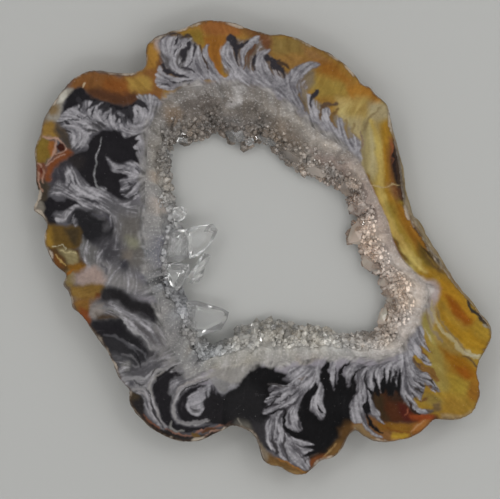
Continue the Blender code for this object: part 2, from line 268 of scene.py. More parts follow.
face_spots, face_triangles, face_rim, face_wall = level_face(
    (rind_rows[0], wall[0]), FACE_SPACING, THICKNESS, FACE_SEED)
back_spots, back_triangles, back_rim, back_wall = level_face(
    (rind_rows[-1], wall[2]), BACK_SPACING, 0.0, BACK_SEED)

stone_spots = [face_spots, back_spots]
count = len(face_spots) + len(back_spots)
back_rim, back_wall = back_rim + len(face_spots), back_wall + len(face_spots)
stone_triangles = [face_triangles, back_triangles[:, ::-1] + len(face_spots)]
row_before = face_rim
for row in rind_rows[1:-1]:
    row_here = np.arange(len(row)) + count
    stone_spots.append(row)
    count += len(row)
    stone_triangles.append(strip(row_before, row_here))
    row_before = row_here
stone_triangles.append(strip(row_before, back_rim))
half_row = np.arange(WALL_STATIONS) + count
stone_spots.append(wall[1])
stone_triangles += [strip(half_row, face_wall), strip(back_wall, half_row)]
stone_spots = np.concatenate(stone_spots)
stone_triangles = np.concatenate(stone_triangles)


def tint(red, green, blue):
    """A colour as the eye reads it, 0 to 255 a channel, in the linear values of a shader."""
    channels = np.array([red, green, blue]) / 255
    return np.where(channels <= 0.04045, channels / 12.92, ((channels + 0.055) / 1.055) ** 2.4)


# in the tables, a colour in brackets is one for tint
SMOKE = tint(84, 82, 86)        # the chalcedony that everything else lies in
BLACK = tint(26, 24, 27)
JET = tint(9, 8, 9)
GAP = tint(46, 43, 47)          # between the branches of the plumes
LILAC = tint(146, 141, 147)
PLUME = tint(166, 163, 166)
SHADE = tint(84, 82, 86)        # the plumes where they lie deeper
BELT_BED = LILAC * 0.5          # under the plumes of the top belt
PLUME_BED = LILAC * 0.3         # under those at the bottom and the lower right

AREA_SOFTNESS = 1.7             # of the softness that an area is given
AREA_STEPS, STROKE_STEPS = 4, 7  # steps of a smooth outline between two of its points
AREA_MARGIN, STROKE_MARGIN = 4, 5
# how outlines stray from their smooth course: how far, the size of the bends, and two seeds
WANDERS = ((2.0, 11, 101, 121), (1.3, 4, 111, 131))
STROKE_SHIFT = 7.3              # moves the noise on from stroke to stroke
FRILL_SIZE, FRILL_DEPTH, FRILL_SIDES, FRILL_SEED = 4.5, 1.6, 20, 201
STREAK_LENGTH, STREAK_WIDTH, STREAK_DEPTH, STREAK_SEED = 9, 1.5, 0.3, 211
FAINTEST_PLUME = 0.05           # a stroke of less takes the plumes away
PATTERN_SIZE = 512
FLOW_CELL = 2.0                 # between the places where the fibres' direction is kept
FLOW_REACH, FLOW_SPREAD = 4.5, 2.4      # how far strokes turn the fibres beside them
OUTWARD_FLOW = 0.05             # how strongly fibres far from strokes point away from the hollow
FINE_FIBRES, WIDE_FIBRES = (1.4, 5, 301), (3.0, 10, 311)    # width, half length and seed
HAIR_SIZE, HAIR_SEED, VEIL_SIZE, VEIL_SEED = 3.4, 321, 13, 331
PLUME_EDGE = 0.57               # the share of plume where its edge is drawn
DEPTH_SIZE, DEPTH_SEED = 34, 341        # of the lighter and deeper parts of warm chalcedony
DEPTH_HUE = np.array([0.45, 0.7, 0.9])


def smooth_path(knots, steps):
    """A smooth open path through given points, with what each point carries besides."""
    ends = np.concatenate([2 * knots[:1] - knots[1:2], knots, 2 * knots[-1:] - knots[-2:-1]])
    around = (part[:, None] for part in (ends[:-3], ends[1:-2], ends[2:-1], ends[3:]))
    path = spline(*around, (np.arange(steps) / steps)[None, :, None])
    return np.concatenate([path.reshape(-1, knots.shape[1]), knots[-1:]])


def soft_step(value, softness):
    share = np.clip(value / softness + 0.5, 0, 1)
    return share * share * (3 - 2 * share)


def linear(colour):
    """A colour from a table, ready for the ground."""
    return tint(*colour) if isinstance(colour, tuple) else colour


class Pattern:
    """The agate's pattern at a set of places, which are given in picture points."""

    def __init__(self, x, y):
        self.x, self.y, self.wx, self.wy = x, y, x, y
        for far, size, across, down in WANDERS:
            self.wx = self.wx + far * cloud_noise(x, y, size, across)
            self.wy = self.wy + far * cloud_noise(x, y, size, down)
        self.ground = np.tile(SMOKE, (len(x), 1))
        self.plume = np.zeros(len(x))
        self.guides = []

    def area(self, corners, colour, softness, plume=None, wander=1.0, strength=1.0):
        """Fills a soft-edged area of the ground, and sets the plumes there unless plume is None.

        Corners are one run of x, y, x, y and so on; softness is in picture points.
        """
        softness = AREA_SOFTNESS * softness
        x = self.x + (self.wx - self.x) * wander
        y = self.y + (self.wy - self.y) * wander
        corners = np.array(corners, float).reshape(-1, 2)
        ring = smooth_path(np.concatenate([corners, corners[:1]]), AREA_STEPS)
        low, high = ring.min(axis=0), ring.max(axis=0)
        low, high = low - softness - AREA_MARGIN, high + softness + AREA_MARGIN
        near = np.flatnonzero((x > low[0]) & (x < high[0]) & (y > low[1]) & (y < high[1]))
        x, y = x[near], y[near]
        distance = np.full(len(near), 1e9)
        within = np.zeros(len(near), bool)
        for (x0, y0), (x1, y1) in zip(ring[:-1], ring[1:]):
            dx, dy = x1 - x0, y1 - y0
            t = np.clip(((x - x0) * dx + (y - y0) * dy) / (dx * dx + dy * dy + 1e-9), 0, 1)
            distance = np.minimum(distance, np.hypot(x - x0 - dx * t, y - y0 - dy * t))
            within ^= ((y0 > y) != (y1 > y)) & (x < x0 + (y - y0) * dx / (dy if dy else 1e-9))
        share = strength * soft_step(np.where(within, distance, -distance), softness)
        self.ground[near] += (linear(colour) - self.ground[near]) * share[:, None]
        if plume is not None:
            self.plume[near] += (plume - self.plume[near]) * share

    def areas(self, rows, wander=1.0):
        """Areas one after another; a row is colour, softness, plume and then the corners."""
        for colour, softness, plume, *corners in rows:
            self.area(corners, colour, softness, plume, wander)

    def along(self, points):
        """Places near a path, how far along it they lie, how far aside, and its width there."""
        points = np.array(points, float).reshape(-1, 3)
        path = smooth_path(points, STROKE_STEPS)
        self.guides.append(path)
        reach = points[:, 2].max() + STROKE_MARGIN
        low, high = path[:, :2].min(axis=0) - reach, path[:, :2].max(axis=0) + reach
        near = np.flatnonzero((self.wx > low[0]) & (self.wx < high[0])
                              & (self.wy > low[1]) & (self.wy < high[1]))
        x, y = self.wx[near], self.wy[near]
        best = np.full(len(near), 1e9)
        forth, aside, width = (np.zeros(len(near)) for _ in range(3))
        travelled = 0.0
        for (x0, y0, w0), (x1, y1, w1) in zip(path[:-1], path[1:]):
            dx, dy = x1 - x0, y1 - y0
            length = math.hypot(dx, dy) + 1e-9
            t = np.clip(((x - x0) * dx + (y - y0) * dy) / length ** 2, 0, 1)
            away = np.hypot(x - x0 - dx * t, y - y0 - dy * t)
            closer = away < best
            best = np.where(closer, away, best)
            side = np.sign((x - x0) * dy - (y - y0) * dx)
            forth = np.where(closer, travelled + t * length, forth)
            aside = np.where(closer, side * away, aside)
            width = np.where(closer, w0 + (w1 - w0) * t, width)
            travelled += length
        return near, forth, aside, width

    def stroke(self, points, plume=1.0, colour=None, softness=2.4, ragged=0.35):
        """A tapering stroke of plume, or of coloured ground where plumes are fewer or gone.

        Points are one run of x, y, half width, x, y, half width and so on.
        """
        shift = STROKE_SHIFT * len(self.guides)
        near, forth, aside, width = self.along(points)
        frill = cloud_noise(forth + shift, np.sign(aside) * FRILL_SIDES + shift, FRILL_SIZE,
                            FRILL_SEED, 2)
        edge = width * (1 + ragged * FRILL_DEPTH * frill) - np.abs(aside)
        share = soft_step(edge, softness)
        if colour is not None:
            self.ground[near] += (linear(colour) - self.ground[near]) * share[:, None]
        if plume > FAINTEST_PLUME:
            grain = lattice_noise((forth + shift) / STREAK_LENGTH, aside / STREAK_WIDTH + shift,
                                  STREAK_SEED)
            wanted = plume * (1 - STREAK_DEPTH * (0.5 + 0.5 * grain))
            self.plume[near] = np.maximum(self.plume[near], wanted * share)
        else:
            self.plume[near] *= 1 - share

    def strokes(self, rows, **finish):
        """Strokes one after another; a row is a stroke's points, and finish is for all of them."""
        for points in rows:
            self.stroke(points, **finish)

    def lines(self, rows, **finish):
        """Strokes without plumes; a row is a colour and then the stroke's points."""
        for colour, *points in rows:
            self.stroke(points, plume=0, colour=colour, **finish)

    def flow(self):
        """The fibres' directions: those of nearby strokes, or else away from the hollow."""
        cells = int(PATTERN_SIZE / FLOW_CELL)
        down, across = np.mgrid[0:cells, 0:cells] * FLOW_CELL
        outward = np.arctan2(down - HOLLOW_CENTRE[1], across - HOLLOW_CENTRE[0])
        double = OUTWARD_FLOW * np.exp(2j * outward)
        reach = int(FLOW_SPREAD * FLOW_REACH / FLOW_CELL)
        for path in self.guides:
            steps = path[1:, 0] - path[:-1, 0] + 1j * (path[1:, 1] - path[:-1, 1])
            middles = (path[1:, :2] + path[:-1, :2]) / 2
            for (x, y), step in zip(middles, steps):
                i, j = max(int(x / FLOW_CELL), reach), max(int(y / FLOW_CELL), reach)
                near = (slice(j - reach, j + reach + 1), slice(i - reach, i + reach + 1))
                away = (across[near] - x) ** 2 + (down[near] - y) ** 2
                pull = step * step / (abs(step) + 1e-9)
                double[near] += pull * np.exp(-away / (2 * FLOW_REACH ** 2))
        return np.sqrt(double / np.abs(double))

    def fibres(self, flow, width, reach, seed):
        """Noise drawn out along the flow, about -1 to 1: thin streaks that follow the plumes."""
        total = lattice_noise(self.x / width, self.y / width, seed)
        for way in (1.0, -1.0):
            x, y, last = self.x.copy(), self.y.copy(), None
            for step in range(reach):
                row, column = (np.clip(v / FLOW_CELL + 0.5, 0, len(flow) - 1).astype(int)
                               for v in (y, x))
                turn = flow[row, column]
                if last is None:
                    turn = turn * way
                else:
                    turn = np.where((turn * last.conj()).real < 0, -turn, turn)
                x, y, last = x + turn.real, y + turn.imag, turn
                total = total + lattice_noise(x / width, y / width, seed)
        return total / (2 * total.std())

    def finish(self):
        """Breaks the plumes' soft edges into hairs, and sets how light the fibres are."""
        x, y, flow = self.x, self.y, self.flow()
        fine, wide = self.fibres(flow, *FINE_FIBRES), self.fibres(flow, *WIDE_FIBRES)
        hairs = 0.6 * fine + 0.4 * wide + 0.3 * cloud_noise(x, y, HAIR_SIZE, HAIR_SEED, 2)
        edge = 4 * self.plume * (1 - self.plume)
        veil = cloud_noise(x, y, VEIL_SIZE, VEIL_SEED, 3)
        self.plume = soft_step(
            self.plume - PLUME_EDGE + 0.08 * veil + hairs * (0.15 + 0.6 * edge), 1.0)
        self.fibre = 0.5 + 0.5 * (0.6 * fine + 0.3 * wide + 0.5 * veil)
        warmth = np.clip(self.ground[:, 0] - self.ground[:, 2], 0, 0.3) / 0.3
        deeper = 0.32 * cloud_noise(x, y, DEPTH_SIZE, DEPTH_SEED, 3) + 0.15 * wide
        self.ground *= 1 + deeper[:, None] * warmth[:, None] * DEPTH_HUE


def in_picture(spots):
    """Where places of the slice lie in the pattern, in picture points."""
    return spots[:, 0] / POINT + PATTERN_ORIGIN[0], PATTERN_ORIGIN[1] - spots[:, 1] / POINT


# how far the pattern leans to the left and up for each step down into the stone
LEAN_LEFT, LEAN_UP = 0.05, 0.04
depth = (THICKNESS - stone_spots[:, 2]) / POINT
pattern_x, pattern_y = in_picture(stone_spots)
stone = Pattern(pattern_x + LEAN_LEFT * depth, pattern_y + LEAN_UP * depth)
stone.area((150,100, 200,76, 250,74, 285,84, 315,112, 345,142, 362,160, 376,205, 394,240, 414,262,
            440,288, 430,312, 414,340, 400,360, 360,372, 300,374, 262,372, 215,384, 180,380, 150,330,
            138,290, 138,240, 142,180, 146,130), LILAC, 12)

# The top lobe: honey chalcedony outside, a belt of pale plumes inside it
stone.areas((
    ((144,108,46), 5, None, 143,72, 140,45, 155,30, 210,12, 260,24, 310,38, 345,55, 365,80, 398,100,
     398,124, 374,122, 362,138, 345,142, 320,128, 300,108, 280,88, 200,84, 165,100, 140,102),
    ((150,108,44), 4, None, 144,45, 152,40, 162,44, 160,60, 156,74, 146,76, 140,70, 146,60),
    ((146,106,36), 4, None, 138,74, 150,70, 158,74, 158,90, 146,98, 136,94, 134,82),
    ((106,70,38), 3, None, 158,56, 168,58, 174,68, 170,76, 162,68, 156,72),
    ((132,106,40), 5, None, 183,34, 200,33, 214,40, 206,46, 190,46, 184,42),
    ((140,88,42), 6, None, 200,26, 215,18, 238,24, 240,36, 214,38, 204,34),
    ((142,92,34), 3, None, 204,38, 230,38, 224,52, 221,66, 224,80, 216,72, 208,58, 206,46),
    ((112,74,38), 5, None, 240,28, 262,32, 272,40, 262,44, 248,38),
    ((106,68,42), 5, None, 254,38, 272,40, 272,54, 262,54, 254,48),
    ((128,104,54), 5, None, 272,38, 300,40, 308,48, 300,56, 278,56, 272,48),
    ((146,110,58), 5, None, 276,56, 300,56, 310,62, 298,70, 284,68),
    ((140,104,60), 5, None, 302,46, 320,54, 330,66, 318,66, 306,58),
    ((142,94,32), 6, None, 316,62, 334,66, 350,82, 340,86, 322,78),
    ((148,122,56), 6, None, 308,76, 330,78, 350,90, 345,100, 322,96, 308,88),
    ((146,100,40), 6, None, 346,84, 365,86, 385,102, 370,108, 350,100),
    ((186,166,106), 6, None, 336,98, 350,102, 370,112, 362,124, 350,126, 336,114),
    ((162,146,104), 6, None, 340,116, 362,118, 362,136, 350,138),
    ((118,104,82), 4, None, 298,72, 312,70, 314,84, 306,94, 298,88),
    ((168,150,142), 3, None, 156,38, 164,34, 166,46, 160,54, 156,48),
    # the belt of plumes
    ((88,84,84), 3, .4, 160,38, 186,38, 196,46, 203,56, 214,78, 186,80, 170,74, 160,58),
    ((104,88,74), 3, .35, 222,50, 231,42, 256,40, 266,50, 284,72, 302,80, 304,92, 262,92, 240,84, 224,70),
    ((126,112,92), 3, .35, 296,84, 312,98, 330,112, 346,124, 360,146, 364,172, 330,142, 300,116)))
stone.areas((
    (BELT_BED, 1.6, .8, 156,84, 157,76, 161,67, 167,75, 178,79, 195,79, 206,84, 200,93, 188,91, 181,87,
     172,92, 162,90),
    (BELT_BED, 1.6, .8, 161,40, 167,36, 174,40, 180,42, 185,39, 187,44, 180,52, 176,60, 178,67, 184,72,
     195,76, 205,82, 190,81, 178,78, 171,69, 169,61, 164,55, 160,50),
    (BELT_BED, 1.6, .8, 184,66, 188,58, 191,47, 194,56, 198,48, 200,58, 206,68, 212,76, 205,81, 195,77,
     186,71),
    (BELT_BED, 1.6, .82, 206,48, 210,46, 208,54, 211,62, 217,72, 223,80, 212,81, 206,70, 201,60, 203,52),
    (BELT_BED, 1.6, .8, 221,60, 223,52, 230,41, 231,50, 235,60, 240,68, 241,60, 240,52, 245,45, 250,40,
     256,38, 260,40, 254,47, 248,53, 245,60, 248,68, 252,73, 256,69, 254,62, 258,55, 263,52, 271,50,
     267,56, 265,62, 268,68, 272,74, 278,78, 284,79, 290,71, 296,67, 304,65, 312,63, 319,66, 309,72,
     303,78, 299,84, 301,92, 303,100, 306,110, 310,115, 309,104, 309,96, 312,99, 315,108, 319,119,
     322,124, 321,114, 324,107, 328,108, 330,118, 336,128, 338,119, 342,122, 344,134, 350,140, 356,138,
     360,146, 362,158, 364,174, 350,160, 330,144, 310,126, 290,106, 270,93, 240,90, 214,86, 218,82,
     228,78, 230,70, 224,66)), wander=0.8)
stone.area((196,90, 208,84, 230,82, 256,86, 262,96, 230,96, 200,98), (124, 116, 110), 4, 0.35)
stone.strokes((
    (164,42,1, 166,50,2, 172,58,2, 176,66,2, 184,74,1),
    (184,42,.6, 179,50,1.2, 175,58,1.5, 176,66,1),
    (192,50,.6, 190,60,1.4, 192,68,1.6, 200,76,1),
    (198,50,.5, 199,60,1.2, 204,68,1.2, 210,76,.6),
    (208,48,.6, 206,56,1.2, 210,66,1.6, 218,76,1),
    (229,46,.6, 225,54,1.6, 228,62,2, 236,70,2, 246,80,1.5),
    (256,40,.8, 249,44,1.6, 243,52,1.6, 242,62,1.6, 247,72,1.2),
    (268,51,.6, 260,55,1.4, 257,63,1.6, 260,72,1.6, 268,82,1.5),
    (316,65,.8, 306,69,1.6, 298,76,2.2, 294,86,2.4, 298,98,2, 306,112,1.5),
    (311,98,.4, 314,108,1.2, 318,118,1.6, 326,130,1.5),
    (326,109,.5, 328,118,1.2, 334,128,1.4, 342,140,1.2),
    (341,122,.5, 343,132,1.2, 348,142,1.4, 356,152,1.2),
    (358,144,.6, 360,154,1.2, 362,166,1),
    (158,80,1, 166,82,2, 178,83,1.6, 192,86,1.5),
    (162,70,.8, 168,77,1.2, 178,81,1),
    (272,84,1.5, 282,90,2, 292,100,2),
    (246,76,1, 258,82,2, 270,88,1.5)), softness=2.6)
stone.lines((
    (GAP, 188,45,2.6, 185,54,2.6, 182,62,1.8, 180,69,.5),
    (GAP, 192,60,.4, 190,64,.8, 186,70,.4),
    (GAP, 195,46,1.2, 194,52,1.4, 193,58,.5),
    (GAP, 163,40,.8, 168,36,1.4, 174,35,1.2, 179,37,.6),
    (GAP, 176,38,.8, 176,43,1.6, 174,48,.5),
    ((70,58,48), 181,41,.5, 186,37,1.6, 190,38,1),
    (GAP, 174,62,.4, 176,54,.8, 181,47,.5),
    ((66,54,46), 200,48,1, 202,56,1.2, 205,64,1.3, 210,73,.5),
    (GAP, 231,38,3, 234,46,3.6, 236,55,2, 239,66,.5),
    (GAP, 237,49,2, 242,45,2, 248,42,1),
    (GAP, 228,64,.4, 232,68,.8, 234,74,.4),
    ((100,74,48), 244,70,.4, 246,64,1, 246,58,.8, 250,52,1.2),
    ((96,68,50), 255,47,2, 251,54,2.2, 248,61,.6),
    (GAP, 255,72,.4, 254,64,1.2, 257,57,.8),
    (GAP, 267,58,2.4, 274,62,3.6, 281,68,3.4, 284,79,.7),
    (GAP, 268,66,.5, 269,71,.8, 273,77,.5),
    (GAP, 276,66,.8, 278,71,.9, 280,77,.4),
    ((74,56,40), 289,70,.6, 286,65,1.6, 280,62,2),
    ((116,106,96), 297,92,.4, 296,86,.8, 300,80,.6),
    ((112,92,62), 305,112,.4, 303,103,1, 299,95,1.2),
    (GAP, 310,108,.4, 312,100,1.6, 317,92,2.2),
    ((92,72,54), 320,120,.5, 319,112,1.7, 324,105,2, 335,104,1.4),
    ((116,88,50), 334,127,.5, 332,118,1.7, 337,110,1.8),
    ((132,110,72), 347,139,.5, 345,130,1.4, 346,121,1.4),
    ((138,118,80), 356,140,.4, 353,133,1.2, 354,126,1),
    ((112,96,84), 360,150,.4, 361,142,.8, 361,134,.5),
    (GAP, 163,65,1.2, 168,73,2.2, 178,77,1.8, 190,79,.6),
    (GAP, 182,69,.4, 190,70,.9, 196,74,.4),
    (GAP, 158,87,.4, 166,87,.9, 173,88,.4),
    (GAP, 178,83,.3, 186,83,.8, 194,82,.3),
    (GAP, 166,80,.3, 174,83,.7, 182,84,.3),
    ((144,108,44), 158,92,2, 166,96,3.4, 176,97,2.4, 182,92,1.2, 188,88,.6),
    ((146,112,48), 172,93,.4, 180,90,.8, 186,87,.5),
    ((26,24,24), 186,88,.8, 190,86,1, 192,83,.4),
    (GAP, 188,96,.5, 192,95,1, 196,96,.4)), ragged=0.5, softness=2)

# The upper left lobe: an amber band over black, a fringe of plumes and black hollows
stone.areas((
    ((122,80,40), 4, None, 68,88, 75,78, 88,71, 105,73, 122,76, 140,74, 150,69, 162,72, 158,85, 165,92,
     163,99, 152,98, 140,94, 135,104, 118,104, 105,102, 95,98, 88,92, 80,88, 72,90),
    ((78,48,28), 5, None, 88,90, 100,89, 120,91, 138,95, 136,105, 120,106, 104,102, 92,98),
    ((126,74,28), 6, None, 104,80, 118,80, 132,84, 130,93, 112,92, 104,88),
    ((158,126,60), 6, None, 128,80, 140,77, 150,80, 151,90, 140,93, 130,90),
    (BLACK, 2.5, 0, 70,93, 76,88, 84,88, 90,95, 100,101, 112,104, 126,106, 138,103, 143,109, 136,110,
     130,120, 125,114, 120,110, 110,112, 100,108, 90,108, 80,111, 74,108, 68,111, 62,118, 64,108, 68,100),
    ((138,132,122), 2.5, 0, 44,124, 46,114, 56,102, 62,92, 70,88, 73,91, 66,100, 62,112, 60,118, 58,122),
    ((184,180,168), 2, None, 58,100, 60,93, 66,90, 69,94, 66,100, 60,104),
    ((124,104,74), 3, None, 50,110, 56,104, 60,108, 58,114, 52,116),
    # the upper fringe
    ((96,94,98), 2, .82, 60,119, 68,110, 74,108, 82,104, 88,101, 93,102, 90,108, 96,107, 103,104, 100,110,
     104,113, 112,109, 116,114, 120,111, 124,115, 128,122, 133,120, 133,112, 136,107, 139,104, 141,96,
     148,95, 158,98, 162,104, 158,112, 150,124, 146,131, 142,128, 136,131, 128,134, 124,137, 120,132,
     108,130, 100,130, 92,134, 90,140, 88,146, 82,150, 76,151, 70,146, 66,138, 62,132, 58,126, 66,128,
     58,122),
    ((70,68,70), 3, .3, 84,128, 88,123, 98,122, 107,126, 100,131, 90,133),
    ((66,64,70), 4, .3, 64,136, 72,138, 78,146, 84,149, 76,152, 68,146)))
stone.strokes((
    (82,128,2, 84,136,3, 82,144,3, 76,149,1),
    (76,126,2, 78,136,2, 76,144,1),
    (62,128,1, 70,127,2, 80,128,3, 90,128,1),
    (66,118,2, 76,118,4, 84,122,3, 92,124,1),
    (74,112,2, 82,116,3, 90,120,2, 98,124,1),
    (86,103,2, 88,110,3, 92,117,3, 100,123,1),
    (98,108,1.5, 96,114,2, 100,120,2, 108,126,1),
    (110,110,1.5, 108,116,2, 112,122,2, 116,128,1),
    (116,114,1, 118,121,1.5, 124,126,2, 132,130,1),
    (140,98,2, 144,104,3, 146,112,3, 144,122,2),
    (152,99,2, 150,108,3, 147,118,2)), softness=3)
stone.strokes((
    (60,124,.6, 66,124,1.2, 72,126,.5),
    (60,130,.6, 67,132,1.4, 72,134,.5),
    (80,111,.6, 81,106,1.4, 80,100,2),
    (88,112,.5, 92,107,1.4, 98,104,2),
    (93,118,.5, 94,113,1.1, 96,109,.8),
    (100,111,.5, 102,108,1.4, 107,106,2.4),
    (103,117,.5, 105,113,1.2, 109,110,1),
    (112,117,.5, 113,113,1.4, 114,109,2),
    (106,122,.4, 109,119,1, 110,115,.6),
    (116,123,.5, 118,119,1.4, 118,114,1.6),
    (120,126,.4, 122,121,1, 120,117,1),
    (127,124,.5, 126,118,1.6, 126,112,3),
    (134,123,.5, 132,117,1.8, 131,110,3.4),
    (138,118,.4, 138,115,.9, 137,112,.8),
    (140,128,.4, 146,124,.8, 150,118,.4),
    (147,110,.5, 144,107,1.8, 140,104,3),
    (130,129,.4, 138,128,.8, 144,127,.4),
    (124,126,.4, 125,122,.9, 124,118,.6),
    (84,120,.3, 88,118,.7, 92,120,.3),
    (76,113,.3, 78,117,.7, 82,120,.3),
    (68,122,.3, 74,121,.7, 80,123,.3)), plume=0, colour=(44, 42, 45), ragged=0.5, softness=2)
stone.area((130,130, 150,116, 160,120, 162,160, 156,205, 146,206, 142,190, 136,168, 130,150),
           (120, 117, 118), 4, 0.8)
# the black hollow with thorns at its right
stone.area((70,158, 80,154, 88,150, 91,142, 99,133, 104,131, 112,131, 120,133, 124,137, 128,138, 142,133,
            136,140, 142,141, 134,147, 142,152, 137,152, 139,158, 144,167, 136,163, 130,161, 122,163,
            114,162, 109,158, 110,166, 114,171, 122,172, 129,177, 123,179, 120,182, 122,188, 120,192,
            126,193, 132,189, 127,197, 135,199, 126,202, 116,199, 110,192, 102,186, 96,190, 90,186,
            84,178, 76,170, 68,164), BLACK, 1.6, 0, wander=0.8)
stone.area((58,164, 68,158, 80,156, 86,162, 80,170, 70,172, 60,176), (40, 36, 36), 6)
stone.stroke((102,138,.4, 101,148,.5, 98,158,.7, 96,168,.7, 96,178,.8, 98,184,.8, 103,190,.8),
             plume=0.55, colour=(116, 116, 116), ragged=0.2, softness=1.2)
stone.stroke((98,180,.5, 103,184,.6, 108,188,.6), plume=0.4, ragged=0.2, softness=1.2)
# the flame at its lower right
stone.area((107,157, 112,162, 118,164, 130,163, 138,165, 148,168, 152,180, 150,192, 142,198, 130,200,
            122,196, 129,193, 133,188, 126,190, 121,190, 124,184, 121,180, 128,179, 130,176, 122,172,
            114,172, 112,166), (92, 90, 94), 1.6, 0.78)
stone.strokes((
    (112,164,1, 122,168,2, 134,172,2.5, 144,176,1.5),
    (124,184,1, 132,182,2, 140,180,2.5, 148,178,1.5),
    (126,196,1, 134,194,1.5, 142,188,2, 147,180,1),
    (146,132,1, 149,142,2, 150,154,2.5, 148,166,1.5),
    (140,150,.6, 144,157,1.5, 150,162,2)), softness=3)
stone.strokes((
    (136,183,.4, 132,188,1, 125,193,1.4),
    (127,182,.4, 129,185,1, 132,184,.4),
    (118,168,.4, 124,170,.8, 130,171,.3),
    (137,168,.3, 141,174,.7, 140,182,.3),
    (140,190,.3, 137,195,.9, 131,199,1),
    (146,140,.3, 148,150,.7, 146,160,.3)), plume=0, colour=(52, 50, 52), ragged=0.5, softness=1.8)
# the clouded plumes under it
stone.areas((
    ((56,53,58), 5, .05, 48,192, 52,178, 60,168, 68,164, 76,172, 82,182, 70,190, 60,192),
    ((92,90,93), 3, .5, 50,192, 56,185, 62,181, 66,183, 67,176, 70,168, 75,170, 80,178, 87,184, 93,191,
     100,190, 108,191, 114,198, 126,204, 136,206, 146,212, 150,226, 138,232, 120,226, 112,214, 104,217,
     96,213, 86,212, 80,205, 72,199, 64,196, 54,195)))
stone.strokes((
    (71,169,1, 74,177,2.5, 80,185,3, 90,193,2, 104,200,1),
    (62,183,.8, 67,187,2, 74,190,2),
    (66,177,.8, 68,183,1.6, 72,187,1),
    (90,190,2, 98,192,3.5, 106,193,2, 112,198,1),
    (54,193,1, 62,192,1.5, 72,196,2, 84,204,2, 96,210,1),
    (104,204,1, 114,210,2, 124,214,2, 136,216,1)), plume=0.9, softness=3)
stone.strokes((
    (63,184,.5, 66,181,1.4, 64,176,3),
    (70,188,.4, 72,184,1, 72,180,.6),
    (78,186,.4, 77,182,1, 76,178,.5),
    (82,198,.5, 90,200,1.6, 98,204,1),
    (66,197,.4, 74,203,1.6, 82,206,.6)), plume=0, colour=(58, 56, 60), ragged=0.5, softness=2.6)
stone.areas((
    (BLACK, 1.8, 0, 46,197, 52,196, 56,200, 66,201, 70,198, 76,202, 82,206, 75,208, 68,212, 58,212,
     54,215, 60,224, 50,224, 42,218, 37,208, 40,198),
    ((92,90,92), 1.6, .7, 56,214, 66,213, 76,206, 82,207, 76,212, 70,216, 68,221, 60,222),
    ((32,31,33), 3, 0, 70,222, 74,213, 82,210, 100,212, 108,220, 106,240, 90,244, 78,232),
    ((90,88,92), 1.6, .7, 74,222, 78,220, 81,224, 80,229, 76,230)))
stone.stroke((50,224,.5, 58,227,.7, 68,228,.7, 73,223,.7, 77,214,.6, 83,210,.5),
             plume=0.7, ragged=0.3, softness=1.4)
# the rim at the left: tan, olive, red-brown and pale veins
stone.areas((
    ((136,104,48), 3.5, 0, 42,130, 44,124, 52,121, 58,126, 66,136, 58,139, 48,137, 42,138),
    ((66,58,50), 4, 0, 58,124, 66,132, 72,144, 74,152, 66,148, 60,138, 56,130),
    ((124,100,38), 2.5, 0, 36,143, 44,137, 52,142, 56,150, 50,158, 42,167, 35,161, 33,152),
    ((146,92,44), 2.5, None, 51,142, 55,142, 57,150, 54,156, 50,152),
    ((118,66,34), 3, 0, 48,168, 52,160, 60,153, 68,150, 75,155, 64,160, 55,169, 52,180, 46,182),
    ((116,72,52), 2, 0, 36,168, 44,164, 48,170, 46,182, 38,182),
    ((62,54,44), 2.5, 0, 34,182, 46,180, 50,190, 44,202, 36,200),
    ((120,114,104), 2, 0, 33,206, 38,200, 45,204, 44,214, 37,214)))
stone.strokes((
    (44,136,.7, 50,138,.9, 58,139,1, 62,143,.9, 67,150,.7),
    (57,140,.6, 57,146,.8, 55,152,1, 51,158,1, 47,166,.9),
    (67,150,.7, 62,152,.9, 56,154,.9),
    (39,165,.7, 43,168,.8, 46,174,.8, 45,182,.6),
    (38,172,.6, 41,176,.9, 40,183,.6, 43,190,.6),
    (48,166,.5, 56,159,.6, 66,154,.5)), plume=0, colour=(172, 138, 120), ragged=0.5, softness=1.6)
stone.areas((
    ((56,22,10), 1, 0, 58,147, 61,143, 66,149, 60,152),
    ((90,40,24), 1, 0, 41,169, 44,168, 45,174, 42,175)))
stone.stroke((85,88,.6, 86,85,1), plume=0, colour=(190, 170, 140), ragged=0.2, softness=1)

